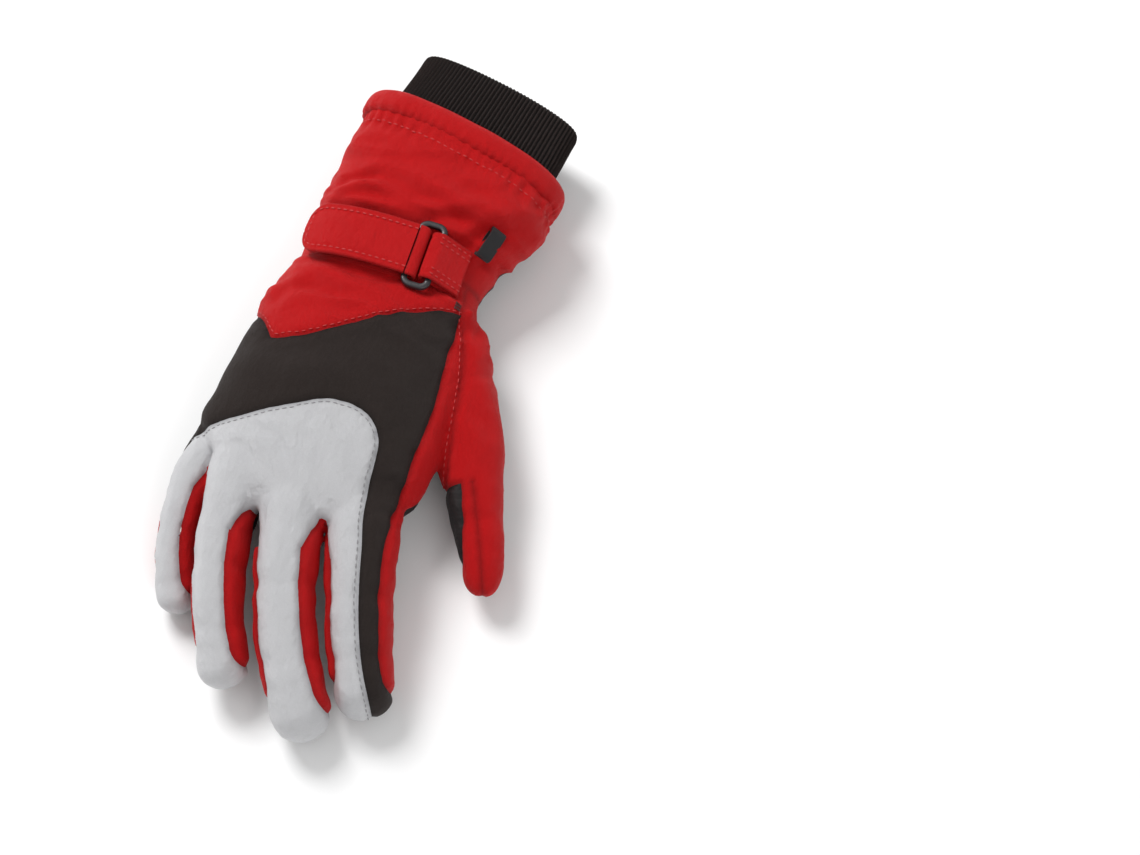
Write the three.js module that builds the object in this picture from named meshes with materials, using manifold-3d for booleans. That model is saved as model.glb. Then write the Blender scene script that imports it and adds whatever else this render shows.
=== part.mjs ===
// A padded ski glove for the right hand, lying palm down.
// Millimetres. -Y points to the fingertips, +Y to the cuff, +X to the thumb and +Z up from the surface it lies on.
import * as THREE from "three";
import { mergeVertices } from "three/addons/utils/BufferGeometryUtils.js";
import Module from "manifold-3d";

const wasm = await Module();
wasm.setup();

// ---- Driving sizes -------------------------------------------------------------------------------------
const lengthScale = 1; // of the whole glove along Y
const widthScale = 1; // of the whole glove across X
const shellWall = 1.0; // outer cloth with its seam turnings
const fingerPadding = 2.2; // insulation round a finger or the thumb
const handPadding = 3.6; // insulation round the hand and the gauntlet
const liningWall = 0.8; // brushed lining
const liningGap = 0.5;
const clear = 0.3; // between cloth layers and between panels
const seatGap = 0.8; // between pieces that slide or turn past each other

const hemWidth = 11; // padded roll at the gauntlet's mouth
const hemWall = 7;
const knitWall = 2.6; // doubled rib knit
const knitReach = 32; // how far the knit stands out of the hem
const knitDepth = 46; // how far it runs back inside
const elasticWidth = 9;
const elasticWall = 0.8;

const strapWidth = 23;
const strapWall = 1.5;
const tailReach = 45; // from the ring to the tail's round end
const ringBar = 2.6; // section of the ring's plastic bar
const ringLength = strapWidth + 8;
const ringCorner = 3.2; // radius at the middle of the bar
const ringWidth = 12.5;
const barEase = 0.5; // between the bar and the folds round it
const strapPlace = [9.7, 64]; // the ring's middle in plan
const strapEnd = -60; // where the strap is sewn into the far side
const tapeSpan = [-34, -1.5];
const tabWidth = 21;
const tabReach = 17; // from the ring's middle to the tab's seam
const patchWall = 1.0; // hook tape, loop tape and palm patch
const loopWidth = 7; // hang loop
const loopLength = 14;
const loopHigh = 4.4;
const loopWall = 1.2;
const loopPlace = [32.8, 80.5];
const loopRoll = -36; // it leans with the side of the wrist
const loopPitch = 22; // and rises with the gauntlet
const loopLift = 5;

const jointShare = 1.42; // of a digit's half height: the round end on which it bends inside its root
const swings = { little: [20, 40, 60], thumb: [-8] }; // degrees of turn that the hand leaves room for
const thumbTilt = 20; // of the thumb's axis from level
const thumbSeam = -0.1; // share of the thumb's half width where its two upper panels meet
const stripeShare = [0.05, 0.66]; // of the index finger's half width
const handSides = 18; // faces round the hand and round a digit
const digitSides = 10;
const sag = 1.5; // how far the glove's underside is pressed flat
const midHeight = 24; // where back and palm meet
const sidePanelHeight = 10;
const tall = 80; // over the top of everything
const hemProud = 1.2;
const knitEase = 0.5;

// The hand and gauntlet, as oval rings from the knuckles to the mouth: centre, half width, half height, yaw.
const handRings = [
  { y: -43, x: -6, z: 25, a: 34, b: 9, yaw: 0 },
  { y: -39, x: -6, z: 25, a: 43, b: 17, yaw: 0 },
  { y: -25, x: -8, z: 24.5, a: 47, b: 21.5, yaw: 0 },
  { y: 0, x: -6, z: 24, a: 46.5, b: 23.5, yaw: 0 },
  { y: 26, x: -4, z: 23.5, a: 44, b: 23.5, yaw: 0 },
  { y: 50, x: -3, z: 21.3, a: 39.5, b: 20.7, yaw: 2 },
  { y: 64, x: -2, z: 21, a: 37.5, b: 20.5, yaw: 5 },
  { y: 82, x: 0.5, z: 21, a: 38, b: 20.5, yaw: 8 },
  { y: 99, x: 3.5, z: 23, a: 43.5, b: 23, yaw: 11 },
  { y: 123.5, x: 8, z: 24, a: 46.5, b: 24, yaw: 12 },
];
// Each finger follows a curve from inside the hand to the middle of its round tip, and hinges where its curve
// passes bend along Y.
const fingers = [
  {
    name: "index", from: [18.5, -30, 27], over: [27, -84, 26], to: [40, -107, 15],
    root: 14.8, tip: 11.6, high: 13.4, roll: 2, bend: -72,
  },
  {
    name: "middle", from: [-9, -30, 27], over: [-5, -88, 28], to: [21, -122, 14],
    root: 12.4, tip: 11.4, high: 13.4, roll: 8, bend: -76,
  },
  {
    name: "ring", from: [-33, -30, 24], over: [-30, -84, 26], to: [-9, -114, 16],
    root: 10, tip: 9.6, high: 12.6, roll: 18, bend: -76,
  },
  {
    name: "little", from: [-41, -8, 20], over: [-58, -62, 15], to: [-40, -91, 9.6],
    root: 8.4, tip: 7.8, high: 10.4, roll: 22, bend: -65,
  },
];
const thumb = {
  name: "thumb", from: [24, 42, 22], over: [47, 12, 20], to: [65, -45, 15],
  root: 16.5, tip: 12.6, high: 15, roll: 0, bend: -25,
};
const digits = [...fingers, thumb];

// ---- Solids --------------------------------------------------------------------------------------------
function solid(geometry) {
  const bare = new THREE.BufferGeometry();
  const source = geometry.index ? geometry.toNonIndexed() : geometry;
  bare.setAttribute("position", source.getAttribute("position"));
  const merged = mergeVertices(bare, 1e-4);
  return new wasm.Manifold(
    new wasm.Mesh({
      numProp: 3,
      vertProperties: new Float32Array(merged.attributes.position.array),
      triVerts: new Uint32Array(merged.index.array),
    }),
  );
}

const unite = (solids) => solids.reduce((sum, next) => sum.add(next));

// The largest body, without the crumbs that a cut may leave.
function largest(made) {
  return made.decompose().reduce((best, next) => (next.volume() > best.volume() ? next : best));
}

// The axes of a ring: forward towards the cuff, right towards the thumb, up away from the palm.
function axesOf(yaw, roll = 0) {
  const turn = THREE.MathUtils.degToRad(yaw);
  const forward = new THREE.Vector3(Math.sin(turn), Math.cos(turn), 0);
  const right = new THREE.Vector3(Math.cos(turn), -Math.sin(turn), 0);
  const up = new THREE.Vector3(0, 0, 1);
  const tilt = THREE.MathUtils.degToRad(-roll);
  right.applyAxisAngle(forward, tilt);
  up.applyAxisAngle(forward, tilt);
  return { forward, right, up };
}

// One oval ring of points, squarer than an ellipse where power is over 2.
function ovalRing(ring, sides, power) {
  const { right, up } = axesOf(ring.yaw, ring.roll);
  const points = [];
  for (let i = 0; i < sides; i++) {
    const angle = (2 * Math.PI * i) / sides;
    const across = Math.sign(Math.cos(angle)) * Math.abs(Math.cos(angle)) ** (2 / power) * ring.a;
    const high = Math.sign(Math.sin(angle)) * Math.abs(Math.sin(angle)) ** (2 / power) * ring.b;
    points.push(
      new THREE.Vector3(ring.x, ring.y, ring.z).addScaledVector(right, across).addScaledVector(up, high),
    );
  }
  return points;
}

// A closed skin over rings of points. A ring that meets the first again makes a hoop; otherwise the ends are capped.
function skin(rings, hoop = false) {
  const sides = rings[0].length;
  const points = rings.flat();
  const faces = [];
  const spans = hoop ? rings.length : rings.length - 1;
  for (let r = 0; r < spans; r++) {
    const next = (r + 1) % rings.length;
    for (let i = 0; i < sides; i++) {
      const j = (i + 1) % sides;
      const [p, q, s, t] = [r * sides + i, r * sides + j, next * sides + j, next * sides + i];
      faces.push(p, s, q, p, t, s);
    }
  }
  if (!hoop) {
    for (const [ring, first, turned] of [[rings[0], 0, false], [rings.at(-1), points.length - sides, true]]) {
      const middle = ring.reduce((sum, p) => sum.add(p), new THREE.Vector3()).divideScalar(sides);
      const tip = points.push(middle) - 1;
      for (let i = 0; i < sides; i++) {
        const [p, q] = [first + i, first + ((i + 1) % sides)];
        faces.push(...(turned ? [tip, q, p] : [tip, p, q]));
      }
    }
  }
  const geometry = new THREE.BufferGeometry().setFromPoints(points);
  geometry.setIndex(faces);
  const made = solid(geometry);
  return made.volume() < 0 ? flipped(geometry) : made;
}

function flipped(geometry) {
  const index = geometry.index.array;
  for (let i = 0; i < index.length; i += 3) [index[i + 1], index[i + 2]] = [index[i + 2], index[i + 1]];
  return solid(geometry);
}

function place(geometry, position, axes) {
  const basis = new THREE.Matrix4().makeBasis(axes.right, axes.forward, axes.up).setPosition(...position);
  return solid(geometry.applyMatrix4(basis));
}

const box = (x, y, z, position, axes = axesOf(0)) => place(new THREE.BoxGeometry(x, y, z), position, axes);

// Everything inside a plan outline between two heights.
function prism(outline, low, high) {
  const shape = new THREE.Shape(outline.map(([x, y]) => new THREE.Vector2(x * widthScale, y * lengthScale)));
  const geometry = new THREE.ExtrudeGeometry(shape, { depth: high - low, bevelEnabled: false });
  return solid(geometry.translate(0, 0, low));
}

const everything = 600; // longer than the glove
const aboveFloor = (height) => box(everything, everything, everything, [0, 0, height + everything / 2]);

// ---- The glove's full form, drawn in by an inset ---------------------------------------------------------
const scaled = ([x, y, z]) => new THREE.Vector3(x * widthScale, y * lengthScale, z);
const stations = handRings.map((r) => ({ ...r, x: r.x * widthScale, y: r.y * lengthScale, a: r.a * widthScale }));
const mouth = stations.at(-1);
const mouthAxes = axesOf(mouth.yaw);
const mouthPoint = (out) => [mouth.x + mouthAxes.forward.x * out, mouth.y + mouthAxes.forward.y * out, mouth.z];

function handForm(inset, open = 0) {
  const rings = stations.map((r, i) => ({
    ...r,
    y: r.y + Math.max(inset, -2) * ([1, 0.8][i] ?? 0),
    a: r.a - inset,
    b: r.b - Math.min(inset, r.b - 2),
  }));
  if (open) {
    const [x, y] = mouthPoint(open);
    rings.push({ ...rings.at(-1), x, y });
  }
  return skin(rings.map((r) => ovalRing(r, handSides, 2.5)));
}

const digitCurve = (d) => new THREE.QuadraticBezierCurve3(scaled(d.from), scaled(d.over), scaled(d.to));
const yawOf = (tangent) => THREE.MathUtils.radToDeg(Math.atan2(-tangent.x, -tangent.y));

// The rings of a finger or the thumb along its curve, with its half width and half height drawn in.
function digitRings(d, inset) {
  const curve = digitCurve(d);
  return [0, 0.4, 0.7, 1].map((t) => {
    const p = curve.getPoint(t);
    const a = THREE.MathUtils.lerp(d.root, d.tip, t) * (d === thumb ? 1 : widthScale) - inset;
    const b = THREE.MathUtils.lerp(d.high, d.tip, t * t) - inset;
    return { x: p.x, y: p.y, z: p.z, a, b, yaw: yawOf(curve.getTangent(t)), roll: d.roll };
  });
}

function digitForm(d, inset) {
  const rings = digitRings(d, inset);
  const end = rings.at(-1);
  const { forward } = axesOf(end.yaw);
  const domeLength = d.tip - inset;
  for (const angle of [38, 72]) {
    const turn = THREE.MathUtils.degToRad(angle);
    const out = -Math.sin(turn) * domeLength;
    const narrowed = Math.cos(turn);
    rings.push({
      ...end, x: end.x + forward.x * out, y: end.y + forward.y * out, a: end.a * narrowed, b: end.b * narrowed,
    });
  }
  return skin(rings.map((r) => ovalRing(r, digitSides, 2.4)));
}

function gloveForm(handInset, digitInset, open = 0) {
  const parts = [handForm(handInset, open), ...digits.map((d) => digitForm(d, digitInset))];
  return unite(parts).intersect(aboveFloor(sag + handInset));
}

// ---- Cutters ---------------------------------------------------------------------------------------------
// A block past the mouth's plane, moved out along the gauntlet.
function pastMouth(out) {
  return box(everything, everything, everything, mouthPoint(out + everything / 2), mouthAxes);
}

// A thin upright wall along a line in plan.
function seam(line, low = midHeight - clear, high = tall, width = clear) {
  const points = line.map(([x, y]) => new THREE.Vector2(x * widthScale, y * lengthScale));
  const edges = [1, -1].map((side) =>
    points.map((p, i) => {
      const before = points[Math.max(i - 1, 0)];
      const after = points[Math.min(i + 1, points.length - 1)];
      const along = after.clone().sub(before).normalize();
      return new THREE.Vector2(-along.y, along.x).multiplyScalar((side * width) / 2).add(p);
    }),
  );
  const shape = new THREE.Shape([...edges[0], ...edges[1].reverse()]);
  const geometry = new THREE.ExtrudeGeometry(shape, { depth: high - low, bevelEnabled: false });
  return solid(geometry.translate(0, 0, low));
}

// A block in a digit's own frame, between shares of its half width and half height.
function digitBlock(d, [left, right], [low, high], [first, last] = [0, 4]) {
  const rings = digitRings(d, 0);
  const end = rings.at(-1);
  const { forward } = axesOf(end.yaw);
  rings.push({ ...end, x: end.x - forward.x * d.tip * 1.5, y: end.y - forward.y * d.tip * 1.5 });
  const corners = [[right, low], [right, high], [left, high], [left, low]];
  const blocks = rings.slice(first, last + 1).map((r) => {
    const axes = axesOf(r.yaw, r.roll);
    return corners.map(([u, v]) =>
      new THREE.Vector3(r.x, r.y, r.z).addScaledVector(axes.right, u * r.a).addScaledVector(axes.up, v * r.b),
    );
  });
  return skin(blocks);
}

// The joint of a digit: a point on its curve, the way its far part lies and the axis it bends about.
function jointOf(d) {
  const curve = digitCurve(d);
  let t = 0;
  while (t < 1 && curve.getPoint(t).y > d.bend * lengthScale) t += 0.002;
  const at = curve.getPoint(t);
  const far = curve.getPoint(1).sub(at);
  const axes = axesOf(yawOf(far));
  const axis = axes.right.clone();
  if (d === thumb) axis.applyAxisAngle(axes.forward, THREE.MathUtils.degToRad(thumbTilt));
  return { at, axis, axes };
}

// What moves with a digit: all past its joint, with a round end about the joint's axis. grow makes the socket.
function jointZone(d, grow) {
  const { at, axis, axes } = jointOf(d);
  const across = 64;
  const reach = 100;
  const radius = d.high * jointShare + grow;
  const barrel = new THREE.CylinderGeometry(radius, radius, across, 16);
  const turn = new THREE.Quaternion().setFromUnitVectors(new THREE.Vector3(0, 1, 0), axis);
  const round = solid(barrel.applyQuaternion(turn).translate(at.x, at.y, at.z));
  const middle = at.clone().addScaledVector(axes.forward, -reach / 2 + grow);
  const past = box(across, reach, across, middle.toArray(), axes);
  return round.add(past).intersect(digitForm(d, -grow - 0.01));
}

const moving = Object.fromEntries(digits.map((d) => [d.name, jointZone(d, 0)]));

// Room for a moving part to turn by some degrees about its joint.
function turned(zone, d, degrees) {
  const { at, axis } = jointOf(d);
  const there = new THREE.Matrix4().makeTranslation(at.x, at.y, at.z);
  const back = new THREE.Matrix4().makeTranslation(-at.x, -at.y, -at.z);
  const spin = new THREE.Matrix4().makeRotationAxis(axis, THREE.MathUtils.degToRad(degrees));
  return zone.transform([...there.multiply(spin).multiply(back).elements]);
}

const sockets = unite(
  digits.map((d) => {
    const zone = jointZone(d, seatGap);
    return unite([zone, ...(swings[d.name] ?? []).map((degrees) => turned(zone, d, degrees))]);
  }),
);

// ---- Layers ----------------------------------------------------------------------------------------------
const toInsulation = shellWall + clear;
const toLining = toInsulation + liningGap; // less the padding, which differs between hand and digits
const hollow = [toLining + handPadding + liningWall, toLining + fingerPadding + liningWall];
const hemStart = -hemWidth / 2 - clear;
const opened = 30;

const outerForm = gloveForm(0, 0).subtract(pastMouth(hemStart));
const shell = outerForm.subtract(gloveForm(shellWall, shellWall, opened));
const insulation = gloveForm(toInsulation, toInsulation)
  .subtract(pastMouth(hemStart))
  .subtract(gloveForm(toInsulation + handPadding, toInsulation + fingerPadding, opened));
const lining = gloveForm(toLining + handPadding, toLining + fingerPadding)
  .subtract(pastMouth(hemStart))
  .subtract(gloveForm(hollow[0], hollow[1], opened));

const group = new THREE.Group();
const colours = {
  red: ["#c8141c", 0.72], black: ["#2b2523", 0.8], silver: ["#b9bac0", 0.5], knit: ["#1a1312", 0.95],
  fleece: ["#3a3a3e", 0.95], wadding: ["#e4e2dc", 0.95], plastic: ["#151515", 0.4], webbing: ["#1b1b1d", 0.85],
  grip: ["#1d1b1b", 0.7], elastic: ["#d8d4cc", 0.85], tape: ["#141416", 0.95],
};

function addPart(name, made, colour) {
  const mesh = made.getMesh();
  const geometry = new THREE.BufferGeometry();
  const count = mesh.vertProperties.length / mesh.numProp;
  const points = new Float32Array(count * 3);
  for (let i = 0; i < count; i++) {
    for (let k = 0; k < 3; k++) points[i * 3 + k] = mesh.vertProperties[i * mesh.numProp + k];
  }
  geometry.setAttribute("position", new THREE.BufferAttribute(points, 3));
  geometry.setIndex([...mesh.triVerts]);
  const [hex, roughness] = colours[colour];
  const material = new THREE.MeshStandardMaterial({ color: hex, roughness, metalness: 0, flatShading: true });
  const part = new THREE.Mesh(geometry, material);
  part.name = name;
  group.add(part);
}

// ---- The digits' moving parts ----------------------------------------------------------------------------
const wide = 1.6;
const sideShare = 0.66; // of the half width, where a digit's side panels begin
const sideEnd = 3; // the last ring that the side panels reach
for (const d of fingers) {
  const zone = moving[d.name];
  const skinOf = shell.intersect(zone);
  const slack = clear / d.root;
  const thumbward = digitBlock(d, [sideShare, wide], [-wide, wide], [0, sideEnd]);
  const littleward = digitBlock(d, [-wide, -sideShare], [-wide, wide], [0, sideEnd]);
  const sides = digitBlock(d, [sideShare - slack, wide], [-wide, wide], [0, sideEnd]).add(
    digitBlock(d, [-wide, -sideShare + slack], [-wide, wide], [0, sideEnd]),
  );
  const endGap = box(60, clear, 60, endOf(d), jointOf(d).axes);
  const upper = digitBlock(d, [-wide, wide], [slack / 2, wide]);
  const lower = digitBlock(d, [-wide, wide], [-wide, -slack / 2]);
  const rest = skinOf.subtract(sides).subtract(endGap.intersect(unite([thumbward, littleward])));
  const back = rest.intersect(upper);
  if (d.name === "index") {
    const stripe = digitBlock(d, [stripeShare[0], stripeShare[1]], [0, wide]);
    const stripeCut = digitBlock(d, [stripeShare[0] - slack, stripeShare[1] + slack], [0, wide]);
    addPart("index_stripe", largest(back.intersect(stripe)), "black");
    addPart("index_back", largest(back.subtract(stripeCut)), "silver");
  } else {
    addPart(d.name + "_back", largest(back), "silver");
  }
  addPart(d.name + "_palm", largest(rest.intersect(lower)), "grip");
  addPart(d.name + "_thumbward_side", largest(skinOf.intersect(thumbward)), "red");
  addPart(d.name + "_littleward_side", largest(skinOf.intersect(littleward)), "red");
}

function endOf(d) {
  const end = digitRings(d, 0)[sideEnd];
  return [end.x, end.y, end.z];
}

const thumbShell = shell.intersect(moving.thumb);
const thumbSlack = clear / thumb.root;
const thumbUpper = thumbShell.intersect(digitBlock(thumb, [-wide, wide], [thumbSlack / 2, wide]));
const thumbSplit = [thumbSeam - thumbSlack / 2, thumbSeam + thumbSlack / 2];
addPart("thumb_outer", largest(thumbUpper.intersect(digitBlock(thumb, [thumbSplit[1], wide], [0, wide]))), "red");
addPart("thumb_inner", largest(thumbUpper.intersect(digitBlock(thumb, [-wide, thumbSplit[0]], [0, wide]))), "red");
addPart(
  "thumb_palm", largest(thumbShell.intersect(digitBlock(thumb, [-wide, wide], [-wide, -thumbSlack / 2]))), "grip",
);
for (const d of digits) {
  addPart(d.name + "_insulation", largest(insulation.intersect(moving[d.name])), "wadding");
  addPart(d.name + "_lining", largest(lining.intersect(moving[d.name])), "fleece");
}

// ---- Hand and gauntlet -----------------------------------------------------------------------------------
const waist = stations[6];
const waistAxes = axesOf(waist.yaw);
const waistCut = (width) => box(everything, width, everything, [waist.x, waist.y, waist.z], waistAxes);
const handSide = box(
  everything, everything, everything,
  [waist.x - (waistAxes.forward.x * everything) / 2, waist.y - (waistAxes.forward.y * everything) / 2, waist.z],
  waistAxes,
);
const fixedShell = shell.subtract(sockets);
const handShell = fixedShell.intersect(handSide).subtract(waistCut(clear));
const gauntletShell = fixedShell.subtract(handSide).subtract(waistCut(clear));

const yokeLine = [
  [-70, 1.5], [-35.7, 12.5], [-25.7, 14.5], [-15.2, 20.5], [-5.2, 28], [4.8, 35], [14.8, 40.5], [22.8, 44.5],
  [33.3, 47.5],
];
const sideLine = [[29, 70], [30, 47.5], [32, 38], [32, 25], [34, 3], [32, -19], [33.5, -45], [36, -62]];
const silverLine = [
  [-70, -40], [-51.5, -30], [-38.5, -25], [-28.5, -19], [-17.5, -13.5], [-7.5, -8], [2.5, -7], [10.5, -9],
  [15.5, -13.5], [18.5, -19], [19.5, -32], [21, -55], [22.5, -72],
];
const thumbLine = [[30, 47.5], [34, 41], [37, 33], [39, 24], [41, 12], [43, -4], [48, -16]];
const webs = [
  { name: "web_index_middle", outline: [[14, -74], [12, -52], [9, -43], [2, -43], [-2, -52], [-2, -74]] },
  { name: "web_middle_ring", outline: [[-13, -76], [-15, -56], [-18, -47], [-23, -47], [-27, -56], [-27, -76]] },
  { name: "web_ring_little", outline: [[-37, -74], [-37, -46], [-38, -37], [-43, -37], [-47, -46], [-48, -70]] },
];
const midSheet = box(everything, everything, clear, [0, 0, midHeight]);
const sideSheet = box(60, everything, clear, [-62 * widthScale, 0, midHeight - sidePanelHeight]);
const sideEndWall = seam([[-32, 80], [-32, -44]], midHeight - sidePanelHeight, midHeight);
const seams = unite([
  seam(yokeLine), seam(sideLine), seam(silverLine), seam(thumbLine),
  midSheet, sideSheet, sideEndWall,
]);
const webZones = webs.map((w) => prism(w.outline, -10, tall));
const webWalls = webs.map((w) => seam([...w.outline, w.outline[0]], -10, tall));
const panels = handShell.subtract(unite([seams, ...webZones, ...webWalls])).decompose();

// The panel that covers a place in plan, above or below the middle sheet.
function panelAt(x, y, low, high) {
  const column = box(3, 3, high - low, [x * widthScale, y * lengthScale, (low + high) / 2]);
  const share = (panel) => panel.intersect(column).volume();
  return panels.reduce((best, next) => (share(next) > share(best) ? next : best));
}

addPart("silver_back_panel", panelAt(-8, -22, midHeight, tall), "silver");
addPart("black_back_panel", panelAt(10, 20, midHeight, tall), "black");
addPart("wrist_yoke", panelAt(-15, 50, midHeight, tall), "red");
addPart("thumb_side_panel", panelAt(38, 3, midHeight, tall), "red");
addPart("thumb_root", panelAt(52, 20, midHeight, tall), "red");
addPart("palm_panel", panelAt(-5, 10, -10, midHeight), "grip");
addPart("little_side_panel", panelAt(-49.5, 0, midHeight - sidePanelHeight, midHeight), "black");
webs.forEach((w, i) => addPart(w.name, largest(handShell.intersect(webZones[i]).subtract(webWalls[i])), "red"));

const gauntletSheet = box(everything, everything, clear, [0, 0, midHeight]);
const gauntletParts = gauntletShell.subtract(gauntletSheet);
addPart("gauntlet_back", largest(gauntletParts.intersect(aboveFloor(midHeight))), "red");
addPart("gauntlet_palm", largest(gauntletParts.subtract(aboveFloor(midHeight))), "black");

// The elastic that gathers the wrist lies under the palm and both sides, in its own groove in the padding.
function elasticBand(grow) {
  const ring = gloveForm(toInsulation - grow, toInsulation - grow).subtract(
    gloveForm(toInsulation + elasticWall + grow, toInsulation + elasticWall + grow, opened),
  );
  const width = elasticWidth + 2 * grow;
  const [x, y] = [waist.x - waistAxes.forward.x * 8, waist.y - waistAxes.forward.y * 8];
  return ring.intersect(box(everything, width, 100, [x, y, midHeight - 50 + 6 + grow], waistAxes));
}
addPart("wrist_elastic", largest(elasticBand(0)), "elastic");
const fixedInsulation = insulation.subtract(sockets).subtract(elasticBand(liningGap)).subtract(waistCut(clear));
const fixedLining = lining.subtract(sockets).subtract(waistCut(clear));
addPart("hand_insulation", largest(fixedInsulation.intersect(handSide)), "wadding");
addPart("cuff_insulation", largest(fixedInsulation.subtract(handSide)), "wadding");
addPart("hand_lining", largest(fixedLining.intersect(handSide)), "fleece");
addPart("cuff_lining", largest(fixedLining.subtract(handSide)), "fleece");

// The padded hem: a rounded section swept round the mouth.
const hemCentre = -hemProud + hemWall / 2; // inset of the roll's middle
const hemRings = ovalRing({ ...mouth, a: mouth.a - hemCentre, b: mouth.b - hemCentre }, 28, 2.5).map((p) => {
  const out = p.clone().sub(new THREE.Vector3(mouth.x, mouth.y, mouth.z));
  const radial = out.clone().normalize();
  const section = [];
  for (let i = 0; i < 10; i++) {
    const angle = (2 * Math.PI * i) / 10;
    const across = Math.sign(Math.cos(angle)) * Math.abs(Math.cos(angle)) ** 0.75 * (hemWall / 2);
    const along = Math.sign(Math.sin(angle)) * Math.abs(Math.sin(angle)) ** 0.75 * (hemWidth / 2);
    section.push(p.clone().addScaledVector(radial, across).addScaledVector(mouthAxes.forward, along));
  }
  return section;
});
const knitOuter = hollow[0] + knitEase;
const hem = skin(hemRings, true).subtract(handForm(knitOuter - clear, opened)).intersect(aboveFloor(sag - hemProud));
addPart("cuff_hem", largest(hem), "red");

const knitTube = handForm(knitOuter, knitReach).subtract(handForm(knitOuter + knitWall, knitReach + 10));
addPart("knit_cuff", largest(knitTube.intersect(pastMouth(-knitDepth)).intersect(aboveFloor(sag + knitOuter))), "knit");

// ---- Palm patch --------------------------------------------------------------------------------------------
// A raised piece that follows the outside of the hand, between two heights over it.
function overHand(low, high) {
  const raise = (by) => handForm(-by, opened).intersect(aboveFloor(sag - by));
  return raise(high).subtract(raise(low));
}

const patchOutline = [[-34, -20], [-26, -30], [12, -30], [22, -22], [22, 6], [10, 34], [-14, 38], [-34, 28]];
addPart("palm_patch", largest(overHand(clear, clear + patchWall).intersect(prism(patchOutline, -20, midHeight - 14))), "grip");

// ---- Wrist strap -------------------------------------------------------------------------------------------
// Heights over the glove: strap, loop tape, hook tape, then the strap's folded tail.
const baseTop = clear + strapWall;
const loopTapeTop = baseTop + clear + patchWall;
const hookTapeTop = loopTapeTop + clear + patchWall;
const barHeight = baseTop + barEase + ringBar / 2;
const foldInner = ringBar / 2 + barEase;
const foldOuter = foldInner + strapWall;
const tailLow = barHeight + foldInner + 0.5;
const tailHigh = tailLow + strapWall;

// The height of the glove's top at a place in plan.
function topAt(x, y) {
  const upper = stations.findIndex((r) => r.y > y);
  const [p, q] = [stations[upper - 1], stations[upper]];
  const t = (y - p.y) / (q.y - p.y);
  const mix = (key) => THREE.MathUtils.lerp(p[key], q[key], t);
  const share = Math.min(Math.abs((x - mix("x")) / mix("a")), 0.999);
  return mix("z") + mix("b") * (1 - share ** 2.5) ** (1 / 2.5);
}

const strapY = strapPlace[1] * lengthScale;
const ringX = strapPlace[0] * widthScale;
const barX = [ringX - (ringWidth - ringBar) / 2, ringX + (ringWidth - ringBar) / 2];
const seat = topAt(barX[0], strapY - strapWidth / 2);
const barZ = seat + barHeight;
const strapStrip = (left, right, width = strapWidth, low = midHeight, high = tall) =>
  box(right - left, width, high - low, [(left + right) / 2, strapY, (low + high) / 2]);

// An outline in X and Z, carried across the strap's width.
function acrossStrap(outline, width, holes = []) {
  const shape = new THREE.Shape(outline.map(([x, z]) => new THREE.Vector2(x, z)));
  for (const h of holes) shape.holes.push(new THREE.Path(h.map(([x, z]) => new THREE.Vector2(x, z))));
  const geometry = new THREE.ExtrudeGeometry(shape, { depth: width, bevelEnabled: false });
  return solid(geometry.rotateX(Math.PI / 2).translate(0, strapY + width / 2, 0));
}
const arc = (x, radius, from, to, steps = 10) =>
  Array.from({ length: steps + 1 }, (_, i) => {
    const angle = THREE.MathUtils.degToRad(THREE.MathUtils.lerp(from, to, i / steps));
    return [x + radius * Math.cos(angle), barZ + radius * Math.sin(angle)];
  });

const fold = acrossStrap([...arc(barX[0], foldOuter, -90, 90), ...arc(barX[0], foldInner, 90, -90)], strapWidth);
const foldFoot = strapStrip(barX[0] - 4, barX[0], strapWidth, barZ - foldOuter, barZ - foldInner);
const band = overHand(clear, baseTop).intersect(strapStrip(strapEnd, barX[0] - 0.5, strapWidth, midHeight - 8));
addPart("strap_base", largest(unite([band, fold, foldFoot]).subtract(overHand(-3, clear))), "red");
const loopSpan = [tapeSpan[0] * widthScale, tapeSpan[1] * widthScale];
const tapeWidth = strapWidth - 5;
addPart(
  "loop_patch", largest(overHand(baseTop + clear, loopTapeTop).intersect(strapStrip(...loopSpan, tapeWidth))), "tape",
);

const tailStart = barX[0] - clear;
const tailEnd = tailStart - tailReach;
const tailShape = new THREE.Shape();
const round = strapWidth / 2;
tailShape.moveTo(tailStart, strapY - round);
tailShape.lineTo(tailStart, strapY + round);
tailShape.lineTo(tailEnd + round, strapY + round);
tailShape.absarc(tailEnd + round, strapY, round, Math.PI / 2, (3 * Math.PI) / 2);
const tailPrism = solid(
  new THREE.ExtrudeGeometry(tailShape, { depth: tall - midHeight, bevelEnabled: false, curveSegments: 14 }).translate(
    0, 0, midHeight,
  ),
);
addPart("strap_tail", largest(overHand(tailLow, tailHigh).intersect(tailPrism)), "red");
const hookSpan = [tailEnd + 7, tailEnd + 7 + 30];
addPart(
  "hook_patch",
  largest(overHand(loopTapeTop + clear, tailLow - clear).intersect(strapStrip(...hookSpan, tapeWidth))),
  "tape",
);

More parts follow.
